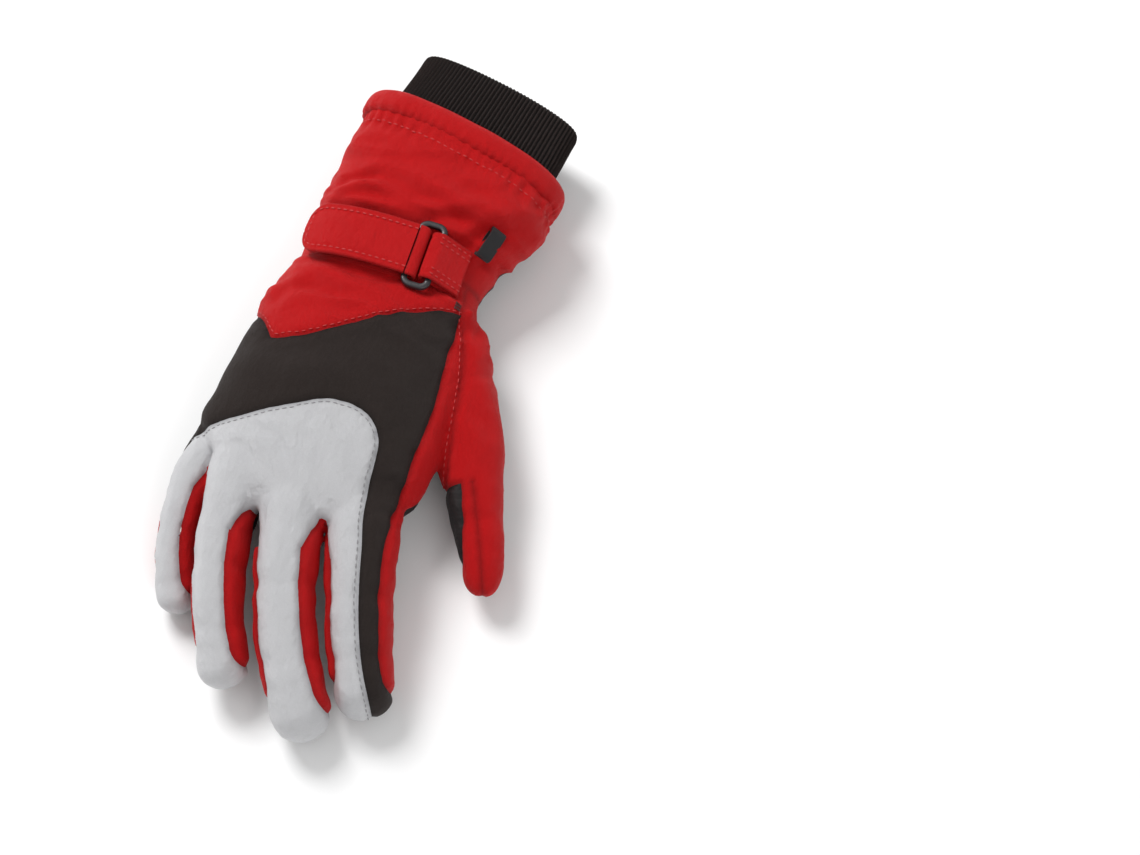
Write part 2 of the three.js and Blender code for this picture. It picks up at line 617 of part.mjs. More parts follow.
// The ring: an oval bar lying flat, with the strap's fold round one side and the tab's fold round the other.
const ringPath = [];
const halfWide = (ringWidth - ringBar) / 2 - ringCorner;
const halfLong = (ringLength - ringBar) / 2 - ringCorner;
for (const [x, y, from] of [[1, 1, 0], [-1, 1, 90], [-1, -1, 180], [1, -1, 270]]) {
  for (let i = 0; i <= 4; i++) {
    const angle = THREE.MathUtils.degToRad(from + (90 * i) / 4);
    ringPath.push({ out: new THREE.Vector2(Math.cos(angle), Math.sin(angle)), corner: [x * halfWide, y * halfLong] });
  }
}
const ringRings = ringPath.map(({ out, corner }) =>
  Array.from({ length: 8 }, (_, i) => {
    const angle = (2 * Math.PI * i) / 8;
    const reach = ringCorner + (Math.cos(angle) * ringBar) / 2;
    return new THREE.Vector3(
      ringX + corner[0] + out.x * reach,
      strapY + corner[1] + out.y * reach,
      barZ + (Math.sin(angle) * ringBar) / 2,
    );
  }),
);
addPart("slide_ring", skin(ringRings, true), "plastic");

// The tab: folded round the ring's other side, its two layers closing to the seam on the thumb's side.
const tabSteps = 6;
const tabEnd = ringX + tabReach;
const tabLow = [];
const tabHigh = [];
for (let i = 0; i <= tabSteps; i++) {
  const x = THREE.MathUtils.lerp(barX[1], tabEnd, i / tabSteps);
  const floor = topAt(x, strapY) + clear + 0.4;
  tabLow.push([x, i === 0 ? barZ - foldOuter : Math.min(floor, barZ - foldOuter)]);
  const closing = THREE.MathUtils.lerp(barZ + foldOuter, topAt(tabEnd, strapY) + clear + 2 * strapWall + 0.4, i / tabSteps);
  tabHigh.push([x, closing]);
}
const tab = acrossStrap(
  [...arc(barX[1], foldOuter, 90, 270), ...tabLow.slice(1), ...tabHigh.reverse().slice(0, -1)],
  tabWidth,
  [arc(barX[1], foldInner, 0, 342, 19)],
);
addPart("ring_tab", largest(tab.subtract(overHand(-3, clear))), "red");

// ---- Hang loop ---------------------------------------------------------------------------------------------
const loopAt = [loopPlace[0] * widthScale, loopPlace[1] * lengthScale];
const loopAxes = axesOf(4, loopRoll);
for (const key of ["forward", "up"]) {
  loopAxes[key].applyAxisAngle(loopAxes.right, THREE.MathUtils.degToRad(loopPitch));
}
const loopSeat = topAt(...loopAt) + loopLift;
const loopRings = [];
const loopRound = loopHigh / 2 - loopWall / 2;
for (const [end, from] of [[1, -90], [-1, 90]]) {
  for (let i = 0; i <= 6; i++) {
    const angle = THREE.MathUtils.degToRad(from + (180 * i) / 6);
    const corners = [[-1, -1], [1, -1], [1, 1], [-1, 1]].map(([u, v]) => {
      const reach = loopRound + (v * loopWall) / 2;
      const along = end * (loopLength / 2 - loopHigh / 2) + Math.cos(angle) * reach;
      return new THREE.Vector3(...loopAt, loopSeat)
        .addScaledVector(loopAxes.right, (u * loopWidth) / 2)
        .addScaledVector(loopAxes.forward, along)
        .addScaledVector(loopAxes.up, Math.sin(angle) * reach);
    });
    loopRings.push(corners);
  }
}
addPart("hang_loop", skin(loopRings, true), "webbing");

// ---- Set on the surface it lies on, centred ----------------------------------------------------------------
const bounds = new THREE.Box3().setFromObject(group);
const middle = bounds.getCenter(new THREE.Vector3());
for (const part of group.children) part.geometry.translate(-middle.x, -middle.y, -bounds.min.z);

export default group;
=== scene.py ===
import math

import bmesh
import bpy
import numpy as np
from mathutils import Euler, Matrix, Vector, kdtree, noise
from mathutils.bvhtree import BVHTree


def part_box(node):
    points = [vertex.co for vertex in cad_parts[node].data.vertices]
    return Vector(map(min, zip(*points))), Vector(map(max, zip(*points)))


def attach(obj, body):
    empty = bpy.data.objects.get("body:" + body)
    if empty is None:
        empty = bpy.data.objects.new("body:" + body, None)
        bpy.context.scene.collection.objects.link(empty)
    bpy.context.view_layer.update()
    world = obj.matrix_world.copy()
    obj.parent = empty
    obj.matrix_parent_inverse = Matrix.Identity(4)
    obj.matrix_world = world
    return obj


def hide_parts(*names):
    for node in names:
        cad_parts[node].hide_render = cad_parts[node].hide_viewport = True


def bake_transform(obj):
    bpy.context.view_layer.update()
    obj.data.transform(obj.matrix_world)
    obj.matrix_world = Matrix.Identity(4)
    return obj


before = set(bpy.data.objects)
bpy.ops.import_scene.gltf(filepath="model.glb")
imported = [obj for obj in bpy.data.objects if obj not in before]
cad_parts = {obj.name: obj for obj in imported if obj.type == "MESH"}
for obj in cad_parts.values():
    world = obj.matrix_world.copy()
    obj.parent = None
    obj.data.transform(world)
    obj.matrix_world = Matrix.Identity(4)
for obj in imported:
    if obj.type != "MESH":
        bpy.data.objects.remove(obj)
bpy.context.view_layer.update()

# Shapes are worked out in millimetres in the pattern's own frame, then set down in the shared frame.
ringLow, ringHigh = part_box("slide_ring")
patternShift = np.array([
    9.7 - 500 * (ringLow[0] + ringHigh[0]),
    64 - 500 * (ringLow[1] + ringHigh[1]),
    0.2,
])


def setDown(points):
    return (np.asarray(points, float) - patternShift) / 1000


def smoothStep(low, high, value):
    t = np.clip((value - low) / (high - low), 0, 1)
    return t * t * (3 - 2 * t)


def bulged(wave, power):
    # A sine or cosine with its sign kept, made squarer by a power under one.
    return np.sign(wave) * np.abs(wave) ** power


# Finishes: each one is a small set of sums on top of one plain shader.
class Wire:
    # One value in a shader, with the sums written as plain arithmetic.
    def __init__(self, cloth, socket):
        self.cloth = cloth
        self.socket = socket

    def sum(self, kind, other, turned=False, third=None):
        pair = [other, self] if turned else [self, other]
        if third is not None:
            pair.append(third)
        return self.cloth.node("ShaderNodeMath", {"operation": kind}, dict(enumerate(pair)))

    def __add__(self, other):
        return self.sum("ADD", other)

    def __radd__(self, other):
        return self.sum("ADD", other)

    def __sub__(self, other):
        return self.sum("SUBTRACT", other)

    def __rsub__(self, other):
        return self.sum("SUBTRACT", other, True)

    def __mul__(self, other):
        return self.sum("MULTIPLY", other)

    def __rmul__(self, other):
        return self.sum("MULTIPLY", other)

    def __truediv__(self, other):
        return self.sum("DIVIDE", other)

    def __pow__(self, other):
        return self.sum("POWER", other)


class Finish:
    def __init__(self, name):
        self.material = bpy.data.materials.new(name)
        self.material.use_nodes = True
        self.tree = self.material.node_tree
        self.shader = next(n for n in self.tree.nodes if n.type == "BSDF_PRINCIPLED")

    def feed(self, socket, value):
        if isinstance(value, Wire):
            self.tree.links.new(value.socket, socket)
        elif isinstance(value, (tuple, list)) and socket.type == "RGBA" and len(value) == 3:
            socket.default_value = (*value, 1)
        else:
            socket.default_value = value

    def node(self, kind, settings=None, inputs=None, out=0):
        made = self.tree.nodes.new(kind)
        for key, value in (settings or {}).items():
            setattr(made, key, value)
        for key, value in (inputs or {}).items():
            self.feed(made.inputs[key], value)
        return Wire(self, made.outputs[out])

    def place(self):
        return self.node("ShaderNodeTexCoord", out="Object")

    def noise(self, scale, detail=3.0, stretch=(1, 1, 1), rough=0.55):
        at = self.node("ShaderNodeMapping", {}, {"Vector": self.place(), "Scale": tuple(stretch)})
        return self.node(
            "ShaderNodeTexNoise", {}, {"Vector": at, "Scale": scale, "Detail": detail, "Roughness": rough},
        )

    def wave(self, scale, axis, vector=None, bend=0.0):
        return self.node(
            "ShaderNodeTexWave",
            {"wave_type": "BANDS", "bands_direction": axis},
            {"Vector": vector or self.place(), "Scale": scale, "Distortion": bend, "Detail": 1.0},
        )

    def stored(self, name):
        return self.node("ShaderNodeAttribute", {"attribute_name": name}, out="Fac")

    def between(self, share, first, second):
        made = self.tree.nodes.new("ShaderNodeMix")
        made.data_type = "RGBA"
        made.clamp_factor = True
        self.feed(made.inputs["Factor"], share)
        self.feed(made.inputs[6], first)
        self.feed(made.inputs[7], second)
        return Wire(self, made.outputs[2])

    def bump(self, height, depth, below=None):
        inputs = {"Height": height, "Distance": depth, "Strength": 1.0}
        if below is not None:
            inputs["Normal"] = below
        return self.node("ShaderNodeBump", {}, inputs)

    def finish(self, **values):
        for key, value in values.items():
            self.feed(self.shader.inputs[key.replace("_", " ")], value)
        return self.material


def linear(red, green, blue):
    shares = (red / 255, green / 255, blue / 255)
    return tuple(c / 12.92 if c < 0.0392 else ((c + 0.055) / 1.055) ** 2.4 for c in shares)


# Woven shell cloth: fine crossed threads, a soft mottle, and painted shade in the seam valleys and creases.
def wovenCloth(name, colour, shade, pitch=2600, sheen=0.25, rough=0.62, gloss=0.0, metal=0.0, nap=1.0):
    cloth = Finish(name)
    threads = cloth.wave(pitch, "X", bend=0.6) * 0.5 + cloth.wave(pitch, "Y", bend=0.6) * 0.5
    fuzz = cloth.noise(1500, 4)
    mottle = cloth.noise(70, 4)
    # The stored point value is painted shade from seam valleys and creases; with the random mottle it darkens
    # the colour towards the shade tone.
    paintedShade = cloth.stored("paintedShade")
    tone = cloth.between(paintedShade * 0.5 + (mottle - 0.5) * 0.35, colour, shade)
    tone = cloth.between(threads * 0.16, tone, shade)
    tone = cloth.between((fuzz - 0.45) * 0.5 * nap, tone, tuple(min(1, c * 1.5 + 0.02) for c in colour))
    crumple = cloth.noise(160, 5, (1.0, 0.55, 1.0))
    level = cloth.bump(cloth.noise(62, 4, (1.0, 0.5, 1.0)), 0.0032)
    level = cloth.bump(crumple, 0.0013, level)
    level = cloth.bump(threads * 0.5 + fuzz * 0.6 * nap, 0.00026, level)
    return cloth.finish(
        Base_Color=tone, Roughness=rough + (mottle - 0.5) * 0.18, Metallic=metal, Normal=level,
        Sheen_Weight=sheen, Sheen_Roughness=0.45, Coat_Weight=gloss, Coat_Roughness=0.4,
        Specular_IOR_Level=0.5 if metal else 0.18,
    )


finishes = {
    "red": wovenCloth("redCloth", linear(204, 6, 12), linear(112, 2, 5), sheen=0.02),
    "black": wovenCloth("blackCloth", linear(46, 37, 34), linear(20, 15, 14), sheen=0.02, rough=0.66),
    "silver": wovenCloth(
        "silverCloth", linear(210, 210, 212), linear(136, 136, 142), pitch=1500, sheen=0.02, rough=0.42,
        metal=0.2, nap=0.5,
    ),
    "strap": wovenCloth("strapCloth", linear(198, 6, 12), linear(104, 2, 5), pitch=2000, sheen=0.03, nap=0.8),
}


# Grippy palm cloth: a pebbled, slightly shiny coat.
def gripCloth():
    cloth = Finish("gripCloth")
    pebble = cloth.node("ShaderNodeTexVoronoi", {"feature": "SMOOTH_F1"}, {
        "Vector": cloth.place(), "Scale": 620.0, "Smoothness": 0.6,
    })
    mottle = cloth.noise(90, 4)
    # Painted shade from the stored point value darkens seam valleys and creases, mixed with a random mottle.
    tone = cloth.between(cloth.stored("paintedShade") * 0.6 + mottle * 0.4, linear(36, 32, 32), linear(16, 14, 14))
    level = cloth.bump(cloth.noise(90, 4), 0.0016)
    level = cloth.bump(pebble, 0.00022, level)
    return cloth.finish(
        Base_Color=tone, Roughness=0.58 + mottle * 0.2, Normal=level, Coat_Weight=0.02, Specular_IOR_Level=0.3,
    )


# Rib-knit yarn: columns of small loops laid out along the cuff's own measure.
def knitYarn():
    yarn = Finish("knitYarn")
    uv = yarn.node("ShaderNodeUVMap", {"uv_map": "cuff"})
    loops = yarn.wave(0.26, "Y", uv, 1.2)
    strands = yarn.wave(0.52, "X", uv, 0.8)
    fuzz = yarn.noise(1800, 5)
    tone = yarn.between(loops * 0.45 + fuzz * 0.4, linear(28, 20, 18), linear(70, 54, 50))
    # Painted shade: the stored point value darkens the grooves between the ribs.
    tone = yarn.between(yarn.stored("paintedShade"), tone, linear(8, 5, 5))
    level = yarn.bump(loops * 0.7 + strands * 0.3, 0.0005)
    level = yarn.bump(fuzz, 0.0004, level)
    return yarn.finish(Base_Color=tone, Roughness=0.9, Normal=level, Sheen_Weight=0.06, Specular_IOR_Level=0.2)


def softFill(name, colour, shade, depth=0.0009, scale=420.0):
    fill = Finish(name)
    tuft = fill.noise(scale, 6, rough=0.7)
    tone = fill.between(tuft, shade, colour)
    return fill.finish(Base_Color=tone, Roughness=0.95, Normal=fill.bump(tuft, depth), Sheen_Weight=0.1)


# Narrow woven tape with cross ribs.
def ribbedTape(name, colour, shade, pitch=900):
    tape = Finish(name)
    ribs = tape.wave(pitch, "Y") * 0.7 + tape.noise(1500, 3) * 0.5
    tone = tape.between(ribs, shade, colour)
    return tape.finish(Base_Color=tone, Roughness=0.7, Normal=tape.bump(ribs, 0.0004), Sheen_Weight=0.03)


def mouldedPlastic():
    plastic = Finish("mouldedPlastic")
    scuff = plastic.noise(380, 5)
    tone = plastic.between(scuff * 0.6, linear(26, 24, 26), linear(48, 46, 50))
    return plastic.finish(
        Base_Color=tone, Roughness=0.34 + scuff * 0.2, Normal=plastic.bump(plastic.noise(1600, 3), 0.00008),
        Coat_Weight=0.15,
    )


def sewingThread(name, colour, shade):
    thread = Finish(name)
    twist = thread.noise(2400, 3)
    tone = thread.between(twist, shade, colour)
    return thread.finish(Base_Color=tone, Roughness=0.6, Normal=thread.bump(twist, 0.0002))


finishes.update({
    "grip": gripCloth(),
    "knit": knitYarn(),
    "fleece": softFill("brushedFleece", linear(70, 68, 70), linear(34, 33, 35)),
    "wadding": softFill("wadding", linear(236, 234, 228), linear(196, 194, 188)),
    "plastic": mouldedPlastic(),
    "webbing": ribbedTape("loopWebbing", linear(44, 44, 48), linear(10, 10, 11)),
    "tape": softFill("hookTape", linear(30, 28, 28), linear(8, 8, 8), 0.0012, 900.0),
    "elastic": ribbedTape("elastic", linear(60, 58, 58), linear(24, 22, 22)),
    "redThread": sewingThread("redThread", linear(226, 70, 70), linear(150, 20, 24)),
    "greyThread": sewingThread("greyThread", linear(172, 170, 172), linear(112, 110, 114)),
    "darkThread": sewingThread("darkThread", linear(58, 50, 48), linear(20, 18, 18)),
})
print("finishes made")


# Small helpers that make and turn meshes.
def makePiece(name, points, faces, finish, replaces=True, smooth=True, paintedShade=None):
    mesh = bpy.data.meshes.new(name)
    mesh.from_pydata(setDown(points).tolist(), [], [list(map(int, f)) for f in faces])
    mesh.update()
    if smooth:
        mesh.polygons.foreach_set("use_smooth", [True] * len(mesh.polygons))
    # This point attribute carries painted shade: darkening in seam valleys, creases, rib grooves and along
    # strip edges, which the finishes mix into the base colour.
    stored = mesh.attributes.new("paintedShade", "FLOAT", "POINT")
    if paintedShade is not None:
        stored.data.foreach_set("value", np.asarray(paintedShade, np.float32))
    mesh.materials.append(finishes[finish])
    piece = bpy.data.objects.new(name + "_cloth" if replaces else name, mesh)
    bpy.context.scene.collection.objects.link(piece)
    if replaces:
        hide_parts(name)
    return piece


def gridFaces(rows, columns, closedRows=False, closedColumns=True, start=0):
    r = np.arange(rows if closedRows else rows - 1)
    c = np.arange(columns if closedColumns else columns - 1)
    r, c = (g.ravel() for g in np.meshgrid(r, c, indexing="ij"))
    up, on = (r + 1) % rows, (c + 1) % columns
    return start + np.stack([r * columns + c, r * columns + on, up * columns + on, up * columns + c], 1)


def turnFacesOut(mesh):
    shape = bmesh.new()
    shape.from_mesh(mesh)
    bmesh.ops.recalc_face_normals(shape, faces=shape.faces)
    shape.to_mesh(mesh)
    shape.free()


def unit(v):
    v = np.asarray(v, float)
    return v / np.maximum(np.linalg.norm(v, axis=-1, keepdims=True), 1e-9)


def axesOf(yaw, roll=0.0):
    turn = math.radians(roll)
    forward = np.array([math.sin(yaw), math.cos(yaw), 0.0])
    flat = np.array([math.cos(yaw), -math.sin(yaw), 0.0])
    up = np.array([0.0, 0.0, 1.0])
    right = flat * math.cos(turn) + up * math.sin(turn)
    return right, up * math.cos(turn) - flat * math.sin(turn), forward


def ovalRing(centre, axes, half, high, count, power):
    angle = np.linspace(0, 2 * math.pi, count, endpoint=False)
    across = bulged(np.cos(angle), 2 / power) * half
    rise = bulged(np.sin(angle), 2 / power) * high
    return np.asarray(centre) + across[:, None] * axes[0] + rise[:, None] * axes[1]


# The padded form of the hand and its five digits, in millimetres.
form = {
    "sag": 1.5, "mid": 24.0, "voxel": 1.25, "wall": 1.0,
    "y": [-53, -49, -44, -39, -34, -25, 0, 26, 50, 64, 82, 99, 123.5],
    "x": [-4, -5, -6, -5, -5, -8, -6, -4, -3, -2, 0.5, 3.5, 8],
    "z": [27, 26, 25, 25, 25, 24.5, 24, 23.5, 21.3, 21, 21, 23, 24],
    "half": [20, 27, 32, 37, 42.5, 47, 46.5, 44, 39.5, 37.5, 38, 43.5, 46.5],
    "high": [6, 12, 15.5, 17.5, 19.2, 21.5, 23.5, 23.5, 20.7, 20.5, 20.5, 23, 24],
    "yaw": [0, 0, 0, 0, 0, 0, 0, 0, 2, 5, 8, 11, 12],
}
digits = {
    "index": dict(
        path=[(18.5, -30, 27), (27.6, -84, 26), (41.4, -107, 15)],
        root=14.8, tip=11.6, high=13.4, roll=2, bend=-72, near=-19, far=10,
    ),
    "middle": dict(
        path=[(-9, -30, 27), (-5, -88, 28), (21, -122, 14)],
        root=12.4, tip=11.4, high=13.4, roll=8, bend=-76, near=-19, far=10,
    ),
    "ring": dict(
        path=[(-33, -30, 24), (-31.6, -84, 26), (-13.2, -114, 16)],
        root=10, tip=9.6, high=12.6, roll=18, bend=-76, near=-18, far=10,
    ),
    "little": dict(
        path=[(-41, -8, 20), (-58.5, -62, 15), (-41, -91, 9.6)],
        root=8.4, tip=7.8, high=10.4, roll=22, bend=-65, near=-15, far=8,
    ),
    "thumb": dict(
        path=[(24, 42, 22), (47, 12, 20), (70, -46, 15)],
        root=16.5, tip=8.0, high=15, roll=0, bend=-25, near=-21, far=12, fullness=1.9, point=1.5,
    ),
}


def handStation(y):
    steps = np.linspace(-53, 123.5, 170)
    values = {}
    for key in ("x", "z", "half", "high", "yaw"):
        line = np.interp(steps, form["y"], form[key])
        padded = np.concatenate([2 * line[0] - line[12:0:-1], line, 2 * line[-1] - line[-2:-14:-1]])
        kernel = np.exp(-(np.arange(-12, 13) / 4.0) ** 2)
        values[key] = float(np.interp(y, steps, np.convolve(padded, kernel / kernel.sum(), "valid")))
    return values


def handRing(y, inset=0.0, count=72):
    at = handStation(y)
    axes = axesOf(math.radians(at["yaw"]))
    half, high = max(at["half"] - inset, 3), max(at["high"] - inset, 3)
    ring = ovalRing((at["x"], y, at["z"]), axes, half, high, count, 2.5)
    ring[:, 2] = np.maximum(ring[:, 2], form["sag"] + inset)
    return ring


def digitCentre(digit, t):
    a, b, c = (np.array(p, float) for p in digit["path"])
    t = np.asarray(t, float)[..., None]
    return (1 - t) ** 2 * a + 2 * t * (1 - t) * b + t * t * c


def digitFrame(digit, t):
    a, b, c = (np.array(p, float) for p in digit["path"])
    run = 2 * (1 - t) * (b - a) + 2 * t * (c - b)
    return axesOf(math.atan2(-run[0], -run[1]), digit["roll"]), run / np.linalg.norm(run)


def digitRings(digit, inset=0.0, start=0.0, count=40):
    rings = []
    for t in np.linspace(start, 1, 36):
        axes, _ = digitFrame(digit, t)
        half = digit["root"] + (digit["tip"] - digit["root"]) * t ** digit.get("fullness", 1) - inset
        high = digit["high"] + (digit["tip"] - digit["high"]) * t * t - inset
        rings.append(ovalRing(digitCentre(digit, t), axes, half, high, count, 2.4))
    axes, run = digitFrame(digit, 1.0)
    reach = digit["tip"] - inset
    for step in range(1, 9):
        angle = math.radians(min(11 * step, 86))
        centre = digitCentre(digit, 1.0) + run * reach * math.sin(angle) * digit.get("point", 1)
        rings.append(ovalRing(centre, axes, reach * math.cos(angle), reach * math.cos(angle), count, 2.4))
    for ring in rings:
        ring[:, 2] = np.maximum(ring[:, 2], form["sag"] + inset)
    return rings


def loftMesh(rings):
    count = len(rings[0])
    faces = gridFaces(len(rings), count).tolist()
    faces.append(list(range(count)))
    faces.append(list(range((len(rings) - 1) * count, len(rings) * count))[::-1])
    return np.concatenate(rings), faces


# One skin round the hand and all five digits.
def gloveSkin():
    points, faces = loftMesh([handRing(y) for y in np.linspace(-53, 126, 76)])
    faces = [f[::-1] for f in faces]
    for digit in digits.values():
        more, moreFaces = loftMesh(digitRings(digit))
        faces += [[i + len(points) for i in f] for f in moreFaces]
        points = np.concatenate([points, more])
    mesh = bpy.data.meshes.new("form")
    mesh.from_pydata(points.tolist(), [], faces)
    turnFacesOut(mesh)
    blank = bpy.data.objects.new("form", mesh)
    bpy.context.scene.collection.objects.link(blank)
    remesh = blank.modifiers.new("remesh", "REMESH")
    remesh.mode = "VOXEL"
    remesh.voxel_size = form["voxel"]
    graph = bpy.context.evaluated_depsgraph_get()
    made = bpy.data.meshes.new_from_object(blank.evaluated_get(graph))
    made.calc_loop_triangles()
    skin = np.array([v.co for v in made.vertices], float)
    tris = np.array([t.vertices for t in made.loop_triangles], int)
    bpy.data.objects.remove(blank)
    bpy.data.meshes.remove(mesh)
    bpy.data.meshes.remove(made)
    return skin, tris


def edgesOf(tris):
    pairs = np.concatenate([tris[:, [0, 1]], tris[:, [1, 2]], tris[:, [2, 0]]])
    return np.unique(np.sort(pairs, 1), axis=0)


def relax(values, edges, rounds, share=0.5):
    values = values.copy()
    count = np.bincount(edges.ravel(), minlength=len(values)).astype(float)
    count = np.maximum(count, 1)[(...,) + (None,) * (values.ndim - 1)]
    for _ in range(rounds):
        total = np.zeros_like(values)
        np.add.at(total, edges[:, 0], values[edges[:, 1]])
        np.add.at(total, edges[:, 1], values[edges[:, 0]])
        values += share * (total / count - values)
    return values


def normalsOf(points, tris):
    a, b, c = (points[tris[:, i]] for i in range(3))
    face = np.cross(b - a, c - a)
    normals = np.zeros_like(points)
    for i in range(3):
        np.add.at(normals, tris[:, i], face)
    return unit(normals)


skin, tris = gloveSkin()
edges = edgesOf(tris)
for _ in range(3):
    skin = relax(skin, edges, 2, 0.55)
    skin = relax(skin, edges, 1, -0.5)
print("form", len(skin), "points")


# Where every point lies on its nearest digit: which one, how far along, across and up, as shares of its size.
def digitFields(points):
    best = np.full(len(points), 1e9)
    found = np.zeros((len(points), 5))
    for number, digit in enumerate(digits.values()):
        steps = np.linspace(0, 1, 161)
        centres = digitCentre(digit, steps)
        runs = np.array([digitFrame(digit, t)[1] for t in steps])
        near = kdtree.KDTree(len(steps))
        for i, c in enumerate(centres):
            near.insert(c, i)
        near.balance()
        which = np.array([near.find(p)[1] for p in points])
        off = points - centres[which]
        slide = np.einsum("ij,ij->i", off, runs[which])
        span = np.linalg.norm(np.gradient(centres, axis=0), axis=1) * 160
        t = np.clip(steps[which] + slide / span[which], 0, 1.3)
        centre = digitCentre(digit, np.minimum(t, 1))
        rights = np.array([digitFrame(digit, s)[0][0] for s in steps])[which]
        ups = np.array([digitFrame(digit, s)[0][1] for s in steps])[which]
        off = points - centre
        half = digit["root"] + (digit["tip"] - digit["root"]) * np.minimum(t, 1) ** digit.get("fullness", 1)
        high = digit["high"] + (digit["tip"] - digit["high"]) * np.minimum(t, 1) ** 2
        u = np.einsum("ij,ij->i", off, rights) / half
        v = np.einsum("ij,ij->i", off, ups) / high
        past = np.maximum(t - 1, 0) * span[which] / (digit["tip"] * digit.get("point", 1))
        spread = np.sqrt(u * u + v * v + past * past) + 3 * np.maximum(0, 0.02 - t)
        closer = spread < best
        best = np.where(closer, spread, best)
        found[closer] = np.stack([np.full(len(points), number), t, u, v, spread], 1)[closer]
    return found


# Columns of data that follow a point's own place.
digitAt, alongAt, acrossAt, riseAt, spreadAt = range(3, 8)
data = np.concatenate([skin, digitFields(skin)], 1)
print("fields measured")


# The skin is cut into the pattern's pieces along lines.
def cutAlong(data, tris, labels, values, mask):
    values = np.where(np.abs(values) < 0.02, 0.02, values)
    above = values > 0
    state = above[tris].sum(1)
    split = mask & (state > 0) & (state < 3)
    chosen, kept = tris[split], tris[~split]
    high = above[chosen]
    lone = np.where(high.sum(1) == 1, high.argmax(1), (~high).argmax(1))
    rolled = np.take_along_axis(chosen, (lone[:, None] + np.arange(3)) % 3, 1)
    pairs = np.concatenate([rolled[:, [0, 1]], rolled[:, [0, 2]]])
    unique, back = np.unique(np.sort(pairs, 1), axis=0, return_inverse=True)
    back = back.ravel()
    share = values[unique[:, 0]] / (values[unique[:, 0]] - values[unique[:, 1]])
    added = data[unique[:, 0]] * (1 - share[:, None]) + data[unique[:, 1]] * share[:, None]
    added[:, digitAt] = data[unique[:, 0], digitAt]
    count = len(rolled)
    ab, ac = len(data) + back[:count], len(data) + back[count:]
    a, b, c = rolled.T
    newTris = np.concatenate([
        kept, np.stack([a, ab, ac], 1), np.stack([ab, b, c], 1), np.stack([ab, c, ac], 1),
    ])
    newLabels = np.concatenate([labels[~split], np.tile(labels[split], 3)])
    newValues = np.concatenate([values, np.zeros(len(added))])
    return np.concatenate([data, added]), newTris, newLabels, newValues[newTris].sum(1) > 0


def rounded(line, rounds=3):
    line = np.array(line, float)
    for _ in range(rounds):
        a, b = line[:-1], line[1:]
        middle = np.stack([a * 0.75 + b * 0.25, a * 0.25 + b * 0.75], 1).reshape(-1, 2)
        line = np.concatenate([line[:1], middle, line[-1:]])
    return line


# Signed distance in plan from a line, positive on its left as it is walked.
def besideLine(points, line):
    best = np.full(len(points), 1e9)
    sign = np.ones(len(points))
    for a, b in zip(line[:-1], line[1:]):
        run = b - a
        t = np.clip(((points[:, :2] - a) @ run) / (run @ run), 0, 1)
        off = points[:, :2] - (a + t[:, None] * run)
        distance = np.hypot(off[:, 0], off[:, 1])
        side = np.sign(run[0] * off[:, 1] - run[1] * off[:, 0])
        closer = distance < best - 1e-9
        best = np.where(closer, distance, best)
        sign = np.where(closer, side, sign)
    return best * sign


lines = {
    "yoke": rounded([(-70, 42), (-46, 22), (-39.5, 14), (-38, 11.5), (-35, 11.9), (-25.7, 14.5), (-15.2, 20.5),
                     (-5.2, 28), (4.8, 35), (14.8, 40.5), (22.8, 44.5), (33.3, 47.5)], 2),
    "side": rounded([(29, 70), (30, 47.5), (32, 38), (32, 25), (34, 3), (32, -19), (33.5, -45), (36, -75)]),
    "silver": rounded([(-70, -40), (-51.5, -30), (-38.5, -25), (-28.5, -19), (-17.5, -13.5), (-7.5, -8),
                       (2.5, -7), (10.5, -9), (15.5, -13.5), (18.5, -19), (19.5, -32), (21, -55),
                       (22.5, -85)]),
    "thumb": rounded([(30, 49), (34, 41), (37, 33), (39, 24), (41, 12), (43, -4), (48, -30)]),
}
patchOutline = rounded([(-34, -20), (-26, -30), (12, -30), (22, -22), (22, 6), (10, 34), (-14, 38), (-34, 28),
                        (-34, -20)], 2)
webStart = [-52.0, -55.0, -37.0]
sideShare = {"thumbward": 0.66, "littleward": 0.86}
labelNames = []
labels = np.zeros(len(tris), int)


def labelOf(name):
    if name not in labelNames:
        labelNames.append(name)
    return labelNames.index(name)


def divide(old, new, values, extra=None):
    # The part of one piece where values is positive becomes the new piece.
    global data, tris, labels
    mask = labels == labelOf(old)
    if extra is not None:
        mask &= extra[tris].all(1)
    data, tris, labels, side = cutAlong(data, tris, labels, values, mask)
    chosen = (labels == labelOf(old)) & side
    if extra is not None:
        extra = np.concatenate([extra, np.ones(len(data) - len(extra), bool)])
        chosen &= extra[tris].all(1)
    labels[chosen] = labelOf(new)


def column(number):
    return data[:, number]


labelOf("hand")
waistYaw = math.radians(5)
waistForward = np.array([math.sin(waistYaw), math.cos(waistYaw), 0])
mouthAt = handStation(123.5)
mouthAxes = axesOf(math.radians(mouthAt["yaw"]))
mouthCentre = np.array([mouthAt["x"], 123.5, mouthAt["z"]])
divide("hand", "waste", (data[:, :3] - mouthCentre) @ mouthAxes[2] + 3)
divide("hand", "gauntlet", (data[:, :3] - np.array([-2, 64, 0])) @ waistForward)

for number, (name, digit) in enumerate(digits.items()):
    steps = np.linspace(0, 1, 400)
    bendT = float(np.interp(-digit["bend"], -digitCentre(digit, steps)[:, 1], steps))
    digit["bendT"] = bendT
    span = np.linalg.norm(digitCentre(digit, bendT + 0.01) - digitCentre(digit, bendT)) * 100
    digit["cutT"] = bendT + digit["near"] / 2 / span
    digit["endT"] = bendT + digit["far"] / span
    mine = (np.round(column(digitAt)) == number) & (column(spreadAt) < 1.5)
    divide("hand", name, (column(alongAt) - digit["cutT"]) * span, mine)

